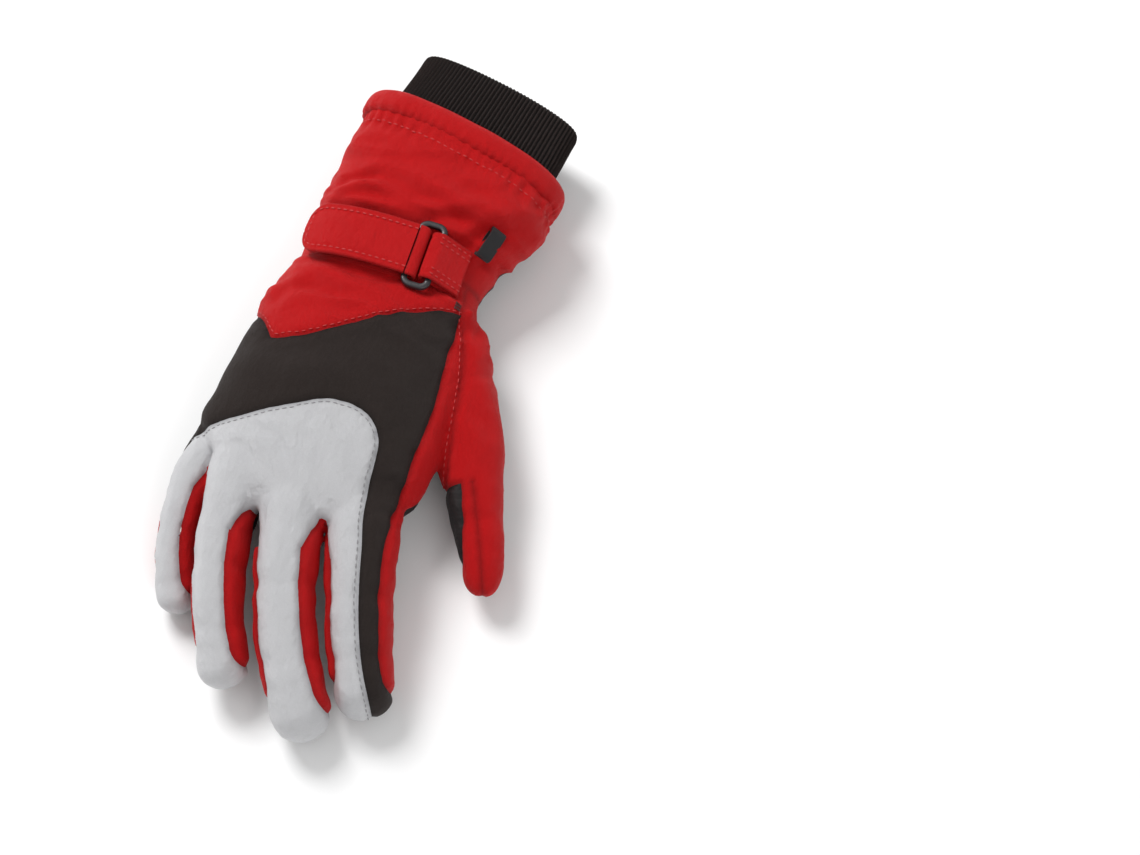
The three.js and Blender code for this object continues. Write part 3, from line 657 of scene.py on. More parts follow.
# Cloth bridging two digits past their cuts goes with the digit it starts on.
cutTs = np.array([d["cutT"] for d in digits.values()])
cornerDigit = np.round(data[:, digitAt][tris]).astype(int)
past = (data[:, alongAt][tris] > cutTs[cornerDigit] - 1e-6).all(1) & (data[:, spreadAt][tris] < 1.5).all(1)
past &= (labels == labelOf("hand")) & (cornerDigit.min(1) != cornerDigit.max(1))
for number, name in enumerate(digits):
    labels[past & (cornerDigit[:, 0] == number)] = labelOf(name)


def handMiddle():
    number = np.round(column(digitAt)).astype(int)
    cutT = np.array([d["cutT"] for d in digits.values()])[number]
    ease = smoothStep(cutT - 0.3, cutT - 0.03, column(alongAt))
    low = np.zeros(len(data))
    for i, digit in enumerate(digits.values()):
        here = number == i
        low[here] = digitCentre(digit, np.minimum(data[here, alongAt], 1))[:, 2]
    middle = form["mid"] * (1 - ease) + low * ease
    # The palm cloth stays out of sight under the thumb's side.
    middle -= 7 * smoothStep(30, 42, data[:, 0]) * smoothStep(-40, -20, data[:, 1])
    return middle, ease, number


handLow, handEase, handNumber = handMiddle()
fingerHalf = np.array([d["root"] for d in digits.values()])[handNumber]
start = np.array(webStart)[np.clip(np.where(column(acrossAt) > 0, handNumber - 1, handNumber), 0, 2)]
share = np.where(column(acrossAt) > 0, sideShare["thumbward"], sideShare["littleward"])
opening = np.clip((start - column(1)) / 15, 0, 1)
gap = (np.abs(column(acrossAt)) - (1.02 - (1.02 - share) * opening)) * fingerHalf
gap = np.minimum(gap, start - column(1))
indexSide = (handNumber == 0) & (column(acrossAt) > 0)
littleSide = (handNumber == 3) & (column(acrossAt) < 0)
outward = indexSide | littleSide | (handNumber == 4)
gap = np.where(outward, -5, gap)
divide("hand", "web", gap)
handLow, handEase, handNumber = handMiddle()
divide("hand", "palm_panel", handLow - column(2))
handLow, handEase, handNumber = handMiddle()
band = np.minimum(-32 - column(0), column(2) - handLow + 10)
divide("palm_panel", "little_side_panel", band)

onIndex = np.where(np.round(column(digitAt)) == 0, handMiddle()[1], 0)
sideLine = besideLine(data, lines["side"]) * (1 - onIndex) + (column(acrossAt) - 0.66) * 14 * onIndex
divide("hand", "thumb_side_panel", sideLine)
divide("thumb_side_panel", "thumb_root", besideLine(data, lines["thumb"]))
divide("hand", "wrist_yoke", besideLine(data, lines["yoke"]))
onIndex = np.where(np.round(column(digitAt)) == 0, handMiddle()[1], 0)
silverLine = -besideLine(data, lines["silver"]) * (1 - onIndex) + (0.05 - column(acrossAt)) * 14 * onIndex
divide("hand", "silver_back_panel", silverLine)
divide("gauntlet", "gauntlet_palm", form["mid"] - 9 - column(2))
for name, digit in digits.items():
    if name == "thumb":
        under = -column(riseAt) - 0.85 * smoothStep(0.78, 1.02, column(alongAt))
        inner = -0.5 - column(acrossAt) - 0.5 * smoothStep(0.7, 1.02, column(alongAt))
        divide("thumb", "thumb_palm", np.maximum(under, inner) * 13)
        divide("thumb", "thumb_outer", (column(acrossAt) + 0.1) * 14)
        continue
    tipEase = 0.3 * smoothStep(0.93, 1.12, column(alongAt))
    divide(name, name + "_thumbward_side", (column(acrossAt) - sideShare["thumbward"] - tipEase) * 12)
    tipEase = 0.3 * smoothStep(0.85, 1.0, column(alongAt))
    divide(name, name + "_littleward_side", (-column(acrossAt) - sideShare["littleward"] - tipEase) * 12)
    divide(name, name + "_palm", -(column(riseAt) + 0.8 * smoothStep(0.72, 1.0, column(alongAt))) * 12)
    if name == "index":
        divide("index", "index_stripe", (column(acrossAt) - 0.05) * 13)

# The webs between fingers are told apart by the digits on either side.
webNames = ["web_index_middle", "web_middle_ring", "web_ring_little"]
isWeb = labels == labelOf("web")
webDigit = np.round(data[tris[:, 0], digitAt]).astype(int)
webSide = np.where(data[tris[:, 0], acrossAt] > 0, webDigit - 1, webDigit)
for i, name in enumerate(webNames):
    labels[isWeb & (np.clip(webSide, 0, 2) == i)] = labelOf(name)
renamed = {
    "hand": "black_back_panel", "gauntlet": "gauntlet_back", "thumb": "thumb_inner", "index": "index_back",
    "middle": "middle_back", "ring": "ring_back", "little": "little_back",
}
labelNames = [renamed.get(n, n) for n in labelNames]
points = data[:, :3].copy()
print("pieces cut", len(points), "points", len(tris), "triangles")

# Padding swells between the seams, which lie in shallow valleys with gathers beside them.
edgePairs = np.sort(np.concatenate([tris[:, [0, 1]], tris[:, [1, 2]], tris[:, [2, 0]]]), 1)
edgeLabel = np.tile(labels, 3)
order = np.lexsort((edgePairs[:, 1], edgePairs[:, 0]))
sortedPairs, sortedLabel = edgePairs[order], edgeLabel[order]
twin = (sortedPairs[1:] == sortedPairs[:-1]).all(1) & (sortedLabel[1:] != sortedLabel[:-1])
families = {name: name for name in labelNames}
for name in ("index", "middle", "ring", "little"):
    families.update({name + "_back": "silver_back_panel", name + "_palm": "palm_panel",
                     name + "_thumbward_side": "web", name + "_littleward_side": "web"})
families.update({
    "index_stripe": "black_back_panel", "index_thumbward_side": "thumb_side_panel", "thumb_palm": "palm_panel",
    "thumb_outer": "thumb_root", "web_index_middle": "web", "web_middle_ring": "web",
    "web_ring_little": "web",
})
familyOf = np.array([sorted(set(families.values())).index(families[n]) for n in labelNames])
plain = familyOf[sortedLabel[1:]] == familyOf[sortedLabel[:-1]]
inRoot = [labelNames.index(n) for n in ("thumb_root", "thumb_inner")]
plain |= np.isin(sortedLabel[1:], inRoot) & np.isin(sortedLabel[:-1], inRoot)
seamPoints = np.unique(sortedPairs[1:][twin & ~plain])
seamTree = kdtree.KDTree(len(seamPoints))
for i in seamPoints:
    seamTree.insert(points[i], int(i))
seamTree.balance()
edges = edgesOf(tris)
normals = unit(relax(normalsOf(points, tris), edges, 12))
seamFar = np.array([seamTree.find(p)[2] for p in points])
x, y, z = points.T
along, across, rise, spread = data[:, alongAt], data[:, acrossAt], data[:, riseAt], data[:, spreadAt]
digitOf = np.round(data[:, digitAt]).astype(int)
bendOf = np.array([d["bendT"] for d in digits.values()])[digitOf]
cutOf = np.array([d["cutT"] for d in digits.values()])[digitOf]
onDigit = smoothStep(cutOf - 0.1, cutOf + 0.02, along) * (spread < 1.6)


def wrinkle(scale, seed, sharp=1.0):
    # Creased noise: long soft ridges with narrow valleys, stretched by scale on each axis.
    scaled = points / np.array(scale) + np.array([0, 0, seed])
    values = np.array([noise.noise(Vector(p)) for p in scaled])
    return 1 - np.abs(values) * 2 if sharp else values


valley = -1.0 * np.exp(-(seamFar / 1.5) ** 2)
puff = 0.9 * (1 - np.exp(-(seamFar / 8) ** 2))
gather = wrinkle((3.2, 5, 7), 3.1) * (0.5 - 0.32 * onDigit) * np.exp(-(seamFar / 5) ** 2)
broad = wrinkle((34, 22, 30), 7.7, 0) * 1.5 + wrinkle((16, 12, 14), 1.4, 0) * 0.7
top = smoothStep(10, 26, z)
strapNear = np.exp(-((y - 64) / 11) ** 4)
gauntletZone = smoothStep(68, 80, y) * (1 - smoothStep(108, 118, y))
yokeZone = smoothStep(20, 34, y) * (1 - smoothStep(50, 58, y)) * (1 - onDigit)
gauntletFolds = (wrinkle((26, 8.5, 18), 11.3) - 0.5) * 2.2 * gauntletZone
gauntletFolds += 3.0 * np.exp(-((y - 88 - x * 0.12) / 11) ** 2) * top
yokeFolds = (wrinkle((20, 8, 16), 5.2) - 0.5) * 1.6 * yokeZone
yokeFolds += 1.6 * np.exp(-((y - 44 - x * 0.15) / 9) ** 2) * top * (x < 34)
thumbGather = wrinkle((3.4, 22, 8), 9.4) * 1.5 * np.exp(-(((x - 34) / 12) ** 2 + ((y - 60) / 15) ** 2))
thumbGather -= 2.6 * np.exp(-(((x - 40) / 9) ** 2 + ((y - 60) / 8) ** 2))
knuckle = (along - bendOf) * 70
knuckleCreases = np.exp(-((knuckle - 3) / 2.6) ** 2) + 0.8 * np.exp(-((knuckle - 24) / 2.6) ** 2)
fingerFolds = -0.8 * onDigit * top * knuckleCreases
fingerFolds += onDigit * (wrinkle((14, 9, 14), 2.2) - 0.5) * 0.45
hemPucker = np.exp(-((((points - mouthCentre) @ mouthAxes[2]) + 10) / 4.5) ** 2)
turnAround = np.arctan2(z - 24, x - 8)
pucker = hemPucker * (0.75 * np.sin(turnAround * 46 + 2 * np.sin(turnAround * 7)) - 0.9)
height = valley + puff + gather + broad * (1 - strapNear) * (0.4 + 0.6 * top) * (1 - 0.7 * onDigit)
height = height + gauntletFolds + yokeFolds
height += thumbGather + fingerFolds + pucker
height = height * (1 - strapNear * top) - 0.5 * strapNear
# Single folds: from and to in plan, then width and depth.
creases = [
    (-34, 80, -4, 86, 2.6, 1.5), (-30, 92, 2, 90, 3.4, 1.1), (-38, 74, -14, 77, 2.0, 1.3),
    (2, 78, 30, 88, 2.6, 1.6), (22, 76, 42, 92, 2.8, 1.7), (14, 96, 34, 100, 3.6, 1.0),
    (-22, 102, 8, 104, 3.2, 0.8), (30, 72, 44, 78, 2.2, 1.8), (-38, 50, -12, 47, 2.6, 1.3),
    (-8, 46, 18, 50, 2.8, 1.2), (-34, 38, -14, 34, 3.0, 0.9), (-42, 28, -28, 36, 2.8, 1.0),
    (30, 52, 40, 44, 2.0, 1.4), (36, 54, 48, 40, 2.2, 1.4), (24, 55, 31, 40, 1.8, 0.8),
    (-30, 6, -2, 14, 5.0, 0.8), (-12, 22, 18, 20, 5.0, 0.7), (26, 12, 20, -18, 4.0, 0.6),
    (46, 10, 58, 0, 3.2, 0.9), (44, 26, 54, 22, 3.0, 1.0), (-30, -26, -14, -36, 2.4, 0.9),
    (-16, -24, 4, -38, 2.8, 0.9), (-2, -16, 12, -30, 3.0, 0.6), (-40, -34, -26, -42, 2.4, 0.8),
    (24, -32, 34, -34, 2.0, 0.7), (25, -44, 36, -47, 2.0, 0.7), (-36, 84, -16, 96, 2.2, 1.2),
    (0, 90, 20, 84, 2.6, 1.2), (-46, 56, -30, 53, 2.4, 1.2), (6, 52, 28, 55, 2.2, 1.3),
]
for ax, ay, bx, by, width, depth in creases:
    run = np.array([bx - ax, by - ay], float)
    t = ((x - ax) * run[0] + (y - ay) * run[1]) / (run @ run)
    bow = 2.2 * np.sin(np.clip(t, 0, 1) * math.pi)
    off = ((x - ax) * -run[1] + (y - ay) * run[0]) / np.linalg.norm(run) - bow
    fade = smoothStep(-0.15, 0.3, t) * (1 - smoothStep(0.7, 1.15, t)) * smoothStep(20, 27, z)
    ridges = 0.6 * np.exp(-((np.abs(off) - 1.9 * width) / width) ** 2)
    height += fade * depth * (ridges - np.exp(-(off / width) ** 2))
height = relax(height, edges, 1)
puffed = points + normals * height[:, None]
puffed[:, 2] = np.maximum(puffed[:, 2], form["sag"] + 0.1)
normals = normalsOf(puffed, tris)
# Painted shade: darker in the seam valleys and where folds press the cloth down.
seamShade = np.exp(-(seamFar / 1.3) ** 2) * 0.9 + np.clip(-height * 0.1, 0, 0.3)
skinTree = BVHTree.FromPolygons(puffed.tolist(), tris.tolist())
print("folds made")


def boundaryLoops(chosen):
    # Directed edges used once, walked into ordered loops.
    directed = np.concatenate([chosen[:, [0, 1]], chosen[:, [1, 2]], chosen[:, [2, 0]]])
    known = set(map(tuple, directed.tolist()))
    rim = [e for e in map(tuple, directed.tolist()) if (e[1], e[0]) not in known]
    after = {}
    for a, b in rim:
        after.setdefault(a, []).append(b)
    loops = []
    while after:
        first = next(iter(after))
        loop, at = [], first
        while at in after:
            loop.append(at)
            step = after[at].pop()
            if not after[at]:
                del after[at]
            at = step
        loops.append(loop)
    return rim, loops


def largestGroup(chosen):
    # The biggest connected share of these triangles, so that no crumb is left beside it.
    parent = np.arange(len(puffed))
    pairs = edgesOf(chosen)
    for _ in range(400):
        low = np.minimum(parent[pairs[:, 0]], parent[pairs[:, 1]])
        before = parent.copy()
        np.minimum.at(parent, pairs[:, 0], low)
        np.minimum.at(parent, pairs[:, 1], low)
        parent = parent[parent]
        if (parent == before).all():
            break
    group = parent[chosen[:, 0]]
    names, count = np.unique(group, return_counts=True)
    return chosen[group == names[count.argmax()]]


def solidPatch(name, chosen, finish, raised=0.0, wall=1.0, replaces=True):
    used, flat = np.unique(chosen, return_inverse=True)
    local = flat.reshape(-1, 3)
    outer = puffed[used] + normals[used] * raised
    inner = outer - normals[used] * wall
    rim, _ = boundaryLoops(local)
    count = len(used)
    faces = np.concatenate([local, local[:, ::-1] + count]).tolist()
    faces += [[b, a, a + count, b + count] for a, b in rim]
    shade = np.concatenate([seamShade[used], seamShade[used]])
    piece = makePiece(name, np.concatenate([outer, inner]), faces, finish, replaces, True, shade)
    # Neighbouring pieces share their shading, so that the cloth runs on across a plain join.
    piece.data.normals_split_custom_set_from_vertices(np.concatenate([normals[used], -normals[used]]).tolist())
    return piece


clothOf = {
    "silver_back_panel": "silver", "black_back_panel": "black", "wrist_yoke": "red", "thumb_side_panel": "red",
    "thumb_root": "red", "palm_panel": "grip", "little_side_panel": "black", "gauntlet_back": "red",
    "gauntlet_palm": "black", "thumb_outer": "red", "thumb_inner": "red", "thumb_palm": "grip",
    "index_stripe": "black",
}
for name in webNames:
    clothOf[name] = "red"
for name in ("index", "middle", "ring", "little"):
    clothOf.update({
        name + "_back": "silver", name + "_palm": "grip", name + "_thumbward_side": "red",
        name + "_littleward_side": "red",
    })


def bendsWith(piece):
    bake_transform(piece)


panelTris = {}
for name, cloth in clothOf.items():
    chosen = largestGroup(tris[labels == labelNames.index(name)])
    panelTris[name] = chosen
    piece = solidPatch(name, chosen, cloth, 0.0, form["wall"])
    owner = name.split("_")[0]
    if owner in digits and name not in ("thumb_side_panel", "thumb_root"):
        bendsWith(piece)
    else:
        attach(piece, "glove")
print("panels made")


# Wadding and fleece inside.
def sock(name, outerRings, innerRings, finish, openEnds=1):
    # A closed wall between two lofts; with one open end the far end is domed shut.
    count = len(outerRings[0])
    outer, inner = np.concatenate(outerRings), np.concatenate(innerRings)
    total = len(outer)
    faces = gridFaces(len(outerRings), count).tolist()
    faces += [f[::-1] for f in gridFaces(len(innerRings), count, start=total).tolist()]
    for i in range(count):
        j = (i + 1) % count
        faces.append([j, i, i + total, j + total])
    lastOuter, lastInner = total - count, total + len(inner) - count
    if openEnds == 2:
        for i in range(count):
            j = (i + 1) % count
            faces.append([lastOuter + i, lastOuter + j, lastInner + j, lastInner + i])
    else:
        faces.append([lastOuter + i for i in range(count)])
        faces.append([lastInner + i for i in reversed(range(count))])
    return makePiece(name, np.concatenate([outer, inner]), faces, finish)


layers = {"wadding": (2.9, 5.2), "fleece": (5.7, 6.6)}
for finish, (low, high) in layers.items():
    kind = "insulation" if finish == "wadding" else "lining"
    for name, span in (("hand", (62, -34)), ("cuff", (113, 66.5))):
        heights = np.linspace(*span, 26)
        piece = sock(
            f"{name}_{kind}", [handRing(h, low, 56) for h in heights],
            [handRing(h + (1.8 if name == "hand" and h < -30 else 0), high, 56) for h in heights],
            finish, 1 if name == "hand" else 2,
        )
        turnFacesOut(piece.data)
        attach(piece, "glove")
    for name, digit in digits.items():
        shrink = 0.62 if name == "little" else 0.82 if name == "ring" else 1.0
        begin = digit["cutT"] - (0.0 if name == "thumb" else 0.03)
        piece = sock(
            f"{name}_{kind}", digitRings(digit, low * shrink, begin, 30),
            digitRings(digit, high * shrink, begin, 30), finish,
        )
        turnFacesOut(piece.data)
        bendsWith(piece)
print("inner layers made")

# Hem roll.
hem = {"width": 11.5, "wall": 7.4, "around": 260, "section": 22, "inset": 2.4}


def mouthRing(inset, count, back=0.0, squash=1.0):
    half, high = mouthAt["half"] - inset, (mouthAt["high"] - inset) * squash
    ring = ovalRing(mouthCentre + mouthAxes[2] * back, mouthAxes, half, high, count, 2.5)
    even = np.concatenate([ring, ring[:1]])
    length = np.concatenate([[0], np.cumsum(np.linalg.norm(np.diff(even, axis=0), axis=1))])
    steps = np.linspace(0, length[-1], count, endpoint=False)
    return np.stack([np.interp(steps, length, even[:, i]) for i in range(3)], 1)


hemMid = mouthRing(hem["inset"], hem["around"])
tangent = unit(np.roll(hemMid, -1, 0) - np.roll(hemMid, 1, 0))
outward = unit(np.cross(mouthAxes[2], tangent))
outward *= np.sign(np.einsum("ij,ij->i", outward, hemMid - mouthCentre))[:, None]
turn = np.linspace(0, 2 * math.pi, hem["around"], endpoint=False)
hemRings = []
for i in range(hem["around"]):
    angle = np.linspace(0, 2 * math.pi, hem["section"], endpoint=False)
    swell = 1 + 0.07 * math.sin(turn[i] * 5 + 1) + 0.05 * math.sin(turn[i] * 11)
    crease = 0.6 * math.sin(turn[i] * 52 + 3 * math.sin(turn[i] * 6))
    lowSide = np.clip(-np.sin(angle), 0, 1) ** 1.5
    reach = bulged(np.cos(angle), 0.8) * hem["wall"] / 2 * swell - crease * lowSide
    length = bulged(np.sin(angle), 0.8) * hem["width"] / 2
    hemRings.append(hemMid[i] + reach[:, None] * outward[i] + length[:, None] * mouthAxes[2])
hemPoints = np.concatenate(hemRings)
hemPoints[:, 2] = np.maximum(hemPoints[:, 2], 0.35)
hemFaces = gridFaces(hem["around"], hem["section"], True, True)
hemSection = np.linspace(0, 2 * math.pi, hem["section"], endpoint=False)
# Painted shade on the half of the hem roll that faces back along the glove, where it tucks against the cloth
# behind it.
hemShade = np.tile(np.clip(-np.sin(hemSection), 0, 1) ** 3 * 0.8, hem["around"])
hemPiece = makePiece("cuff_hem", hemPoints, hemFaces, "red", paintedShade=hemShade)
turnFacesOut(hemPiece.data)
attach(hemPiece, "glove")

knit = {"ribs": 96, "perRib": 8, "inset": 7.6, "wall": 2.8, "reach": 35.0, "depth": -40.0, "rib": 0.5}
aroundKnit = knit["ribs"] * knit["perRib"]
profile = []
for s in np.linspace(0, 1, 44):
    profile.append((0.0, knit["depth"] + s * (knit["reach"] - knit["depth"] - 2.4), 1.0))
for angle in np.linspace(0.25, math.pi - 0.25, 9):
    inset = (1 - math.cos(angle)) * knit["wall"] / 2
    profile.append((inset, knit["reach"] - 2.4 + 2.4 * math.sin(angle), 1.0 - 0.3 * math.sin(angle)))
for s in np.linspace(1, 0, 16):
    profile.append((knit["wall"], knit["depth"] + s * (knit["reach"] - knit["depth"] - 2.6), 0.6))
knitTurn = np.linspace(0, 2 * math.pi, aroundKnit, endpoint=False)
ribWave = np.cos(2 * math.pi * np.arange(aroundKnit) / knit["perRib"])
knitRings = []
for inset, back, strength in profile:
    narrow = 1.0 + 0.9 * smoothStep(0, 30, np.array(-back)) + 0.6 * smoothStep(10, 31, np.array(back))
    ring = mouthRing(knit["inset"] + inset + narrow, aroundKnit, back, 0.82)
    out = unit(np.cross(np.roll(ring, -1, 0) - np.roll(ring, 1, 0), mouthAxes[2]))
    out *= np.sign(np.einsum("ij,ij->i", out, ring - ring.mean(0)))[:, None]
    sway = 0.25 * np.sin(knitTurn * 3 + back * 0.1)
    ring = ring + out * (ribWave * knit["rib"] * strength * (1 if inset < 1.4 else -1) + sway)[:, None]
    ring[:, 2] = np.maximum(ring[:, 2], 8.6 + inset)
    knitRings.append(ring)
knitPoints = np.concatenate(knitRings)
# Painted shade in the grooves between the ribs.
knitShade = np.tile(np.clip(-ribWave, 0, 1) ** 1.5 * 0.85, len(knitRings))
knitPiece = makePiece("knit_cuff", knitPoints, gridFaces(len(knitRings), aroundKnit, True, True), "knit",
                      paintedShade=knitShade)
uv = knitPiece.data.uv_layers.new(name="cuff")
index = np.zeros(len(knitPiece.data.loops), int)
knitPiece.data.loops.foreach_get("vertex_index", index)
run = np.array([p[1] for p in profile])
uvs = np.stack([(index % aroundKnit) / knit["perRib"] * 10.0, run[index // aroundKnit] * 5.0], 1)
uv.data.foreach_set("uv", uvs.ravel().astype(np.float32))
turnFacesOut(knitPiece.data)
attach(knitPiece, "glove")
print("hem and cuff made")

# Wrist strap, tapes, ring and tab.
strapSeam, tabSeam = 2.6, (2.2, 4.6)
strap = {"y": 64.0, "width": 23.0, "wall": 1.5, "ringX": 9.7, "bar": 2.6, "ringWide": 12.5, "ringLong": 31.0,
         "corner": 3.2, "tailEnd": -40.5, "tabEnd": 26.8, "tabWidth": 21.0}
barZ = 500 * (ringLow[2] + ringHigh[2]) + patternShift[2]
barReach = (strap["ringWide"] - strap["bar"]) / 2
barX = [strap["ringX"] - barReach, strap["ringX"] + barReach]
wrist = handStation(strap["y"])


def wristPath(raised, fromAngle, toX, count=60):
    # Points round the back of the wrist, from low on the little finger's side to a place across.
    angle = np.radians(np.linspace(fromAngle, 60, 400))
    across = bulged(np.cos(angle), 0.8) * (wrist["half"] + raised) + wrist["x"]
    rise = bulged(np.sin(angle), 0.8) * (wrist["high"] + raised) + wrist["z"]
    keep = across <= toX
    path = np.stack([across[keep], rise[keep]], 1)
    length = np.concatenate([[0], np.cumsum(np.hypot(*np.diff(path, axis=0).T))])
    steps = np.linspace(0, length[-1], count)
    return np.stack([np.interp(steps, length, path[:, i]) for i in range(2)], 1)


def lengthAlong(path):
    return np.concatenate([[0], np.cumsum(np.linalg.norm(np.diff(path, axis=0), axis=1))])


def ribbon(name, centres, acrossWay, half, wall, finish, grooves=(), dome=0.25, replaces=True, cells=30):
    # A strip with a soft crowned face; half is its half width at every step, grooves are inset from the edge.
    run = unit(np.gradient(centres, axis=0))
    acrossWay = np.broadcast_to(np.asarray(acrossWay, float), centres.shape)
    up = unit(np.cross(run, acrossWay))
    share = np.sin(np.linspace(-math.pi / 2, math.pi / 2, cells))
    half = np.broadcast_to(half, (len(centres),))
    lateral = share[None, :] * half[:, None]
    edge = half[:, None] - np.abs(lateral)
    rounding = np.sqrt(np.clip(1 - (1 - np.clip(edge / 1.0, 0, 1)) ** 2, 0, 1))
    lift = wall / 2 * (0.35 + 0.65 * rounding) + dome * (1 - share[None, :] ** 2)
    for inset, depth in grooves:
        lift = lift - depth * np.exp(-((edge - inset) / 0.55) ** 2)
    low = wall / 2 * (0.35 + 0.65 * rounding)
    upper = centres[:, None] + lateral[..., None] * acrossWay[:, None] + lift[..., None] * up[:, None]
    lower = centres[:, None] + lateral[..., None] * acrossWay[:, None] - low[..., None] * up[:, None]
    rows = len(centres)
    count = rows * cells
    faces = gridFaces(rows, cells, False, False).tolist()
    faces += [f[::-1] for f in gridFaces(rows, cells, False, False, count).tolist()]
    border = [c for c in range(cells)] + [r * cells + cells - 1 for r in range(1, rows)]
    border += [(rows - 1) * cells + c for c in range(cells - 2, -1, -1)]
    border += [r * cells for r in range(rows - 2, 0, -1)]
    faces += [[a, b, b + count, a + count] for a, b in zip(border, border[1:] + border[:1])]
    # Painted shade along the strip's rounded long edges.
    shade = np.tile((np.exp(-(edge / 0.8) ** 2) * 0.6).ravel(), 2)
    points = np.concatenate([upper.reshape(-1, 3), lower.reshape(-1, 3)])
    piece = makePiece(name, points, faces, finish, replaces, True, shade)
    turnFacesOut(piece.data)
    return piece, up


def inPlane(path):
    return np.stack([path[:, 0], np.full(len(path), strap["y"]), path[:, 1]], 1)


def halfArea(piece):
    return sum(p.area for p in piece.data.polygons) / 2


def declareSheet(piece, flat):
    # Works out a cut length a little longer than the finished strip, so that its flat size would cover its
    # measured area; nothing is done with the result.
    area = halfArea(piece)
    longEnough = max(flat[1], 1.01 * area / flat[0])


foldMid = strap["bar"] / 2 + 0.5 + strap["wall"] / 2
basePath = wristPath(0.3 + strap["wall"] / 2, 190, barX[0] - 3)
arc = np.radians(np.linspace(-90, 90, 16))
squared = (bulged(np.cos(arc), 0.6), bulged(np.sin(arc), 0.8))
foldPath = np.stack([barX[0] + foldMid * 1.5 * squared[0], barZ + foldMid * squared[1]], 1)
basePath = np.concatenate([basePath, foldPath])
basePiece, _ = ribbon("strap_base", inPlane(basePath), (0, 1, 0), strap["width"] / 2, strap["wall"], "strap",
                      [(3.0, 0.25)], 0.0)
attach(basePiece, "glove")

tailLift = 6.65
tailPath = wristPath(tailLift, 160, barX[0] - 0.3, 240)
tailPath = tailPath[tailPath[:, 0] > strap["tailEnd"]]
tailLength = lengthAlong(tailPath)
radius = strap["width"] / 2
corner = 8.0
cornerRise = np.sqrt(np.maximum(corner ** 2 - (corner - tailLength) ** 2, 0.01))
tailHalf = np.where(tailLength < corner, radius - corner + cornerRise, radius)
tailPiece, tailUp = ribbon("strap_tail", inPlane(tailPath), (0, 1, 0), tailHalf, strap["wall"] + 0.5, "strap",
                           [(1.6, 0.3), (3.2, 0.35)], 0.35)
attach(tailPiece, "strap_tail")

for name, raised, span, body in (
    ("loop_patch", 2.6, (-34, -1.5), "glove"), ("hook_patch", 4.5, (-33.2, -3.5), "strap_tail"),
):
    path = wristPath(raised, 160, span[1], 200)
    path = path[path[:, 0] > span[0]]
    piece, _ = ribbon(name, inPlane(path), (0, 1, 0), strap["width"] / 2 - 2.5, 1.0, "tape", (), 0.0)
    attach(piece, body)
    declareSheet(piece, (0.018, float(lengthAlong(path)[-1]) / 1000))


def roundedFrame(centre, halfWide, halfLong, corner, steps=9):
    path, outs = [], []
    for sx, sy, begin in ((1, 1, 0), (-1, 1, 90), (-1, -1, 180), (1, -1, 270)):
        for i in range(steps):
            angle = math.radians(begin + 90 * i / (steps - 1))
            out = np.array([math.cos(angle), math.sin(angle), 0])
            middle = np.array([sx * (halfWide - corner), sy * (halfLong - corner), 0])
            path.append(middle + out * corner + centre)
            outs.append(out)
    return np.array(path), np.array(outs)


ringPath, ringOuts = roundedFrame(
    np.array([strap["ringX"], strap["y"], barZ]), (strap["ringWide"] - strap["bar"]) / 2,
    (strap["ringLong"] - strap["bar"]) / 2, strap["corner"],
)
section = np.linspace(0, 2 * math.pi, 16, endpoint=False)
bar = strap["bar"] / 2
outReach = bulged(np.cos(section), 0.55) * bar
upReach = bulged(np.sin(section), 0.55) * bar
ringPoints = ringPath[:, None] + outReach[None, :, None] * ringOuts[:, None]
ringPoints = ringPoints + upReach[None, :, None] * np.array([0, 0, 1])
ringFaces = gridFaces(len(ringPath), len(section), True, True)
ringPiece = makePiece("slide_ring", ringPoints.reshape(-1, 3), ringFaces, "plastic")
turnFacesOut(ringPiece.data)
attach(ringPiece, "slide_ring")


def surfaceTop(px, py):
    hit = skinTree.ray_cast(Vector((px, py, 90)), Vector((0, 0, -1)))[0]
    return hit.z if hit else 20.0


arc = np.radians(np.linspace(262, 90, 20))
squared = (bulged(np.cos(arc), 0.6), bulged(np.sin(arc), 0.8))
tabFold = np.stack([barX[1] + foldMid * 1.5 * squared[0], barZ + foldMid * squared[1]], 1)
tabXs = np.linspace(barX[1] + 0.5, strap["tabEnd"], 22)
share = (tabXs - tabXs[0]) / (tabXs[-1] - tabXs[0])
ground = np.array([surfaceTop(px, strap["y"]) for px in tabXs])
ground = np.minimum.accumulate(ground)
upperLine = (barZ + foldMid) * (1 - share) + (ground[-1] + 3.2) * share
lowerLine = (barZ - foldMid) * (1 - share) + (ground[-1] + 1.2) * share
tabUpper = np.stack([tabXs, np.maximum(upperLine, ground + 3.0)], 1)
tabLower = np.stack([tabXs, np.maximum(lowerLine, ground + 1.0)], 1)[::-1]
tabPath = np.concatenate([tabLower, tabFold, tabUpper])
tabPiece, _ = ribbon("ring_tab", inPlane(tabPath), (0, 1, 0), strap["tabWidth"] / 2, strap["wall"], "strap",
                     [(2.2, 0.25)], 0.05)
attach(tabPiece, "glove")
declareSheet(basePiece, (0.023, float(lengthAlong(basePath)[-1]) / 1000))
declareSheet(tailPiece, (0.023, float(tailLength[-1]) / 1000))
declareSheet(tabPiece, (0.021, float(lengthAlong(tabPath)[-1]) / 1000))

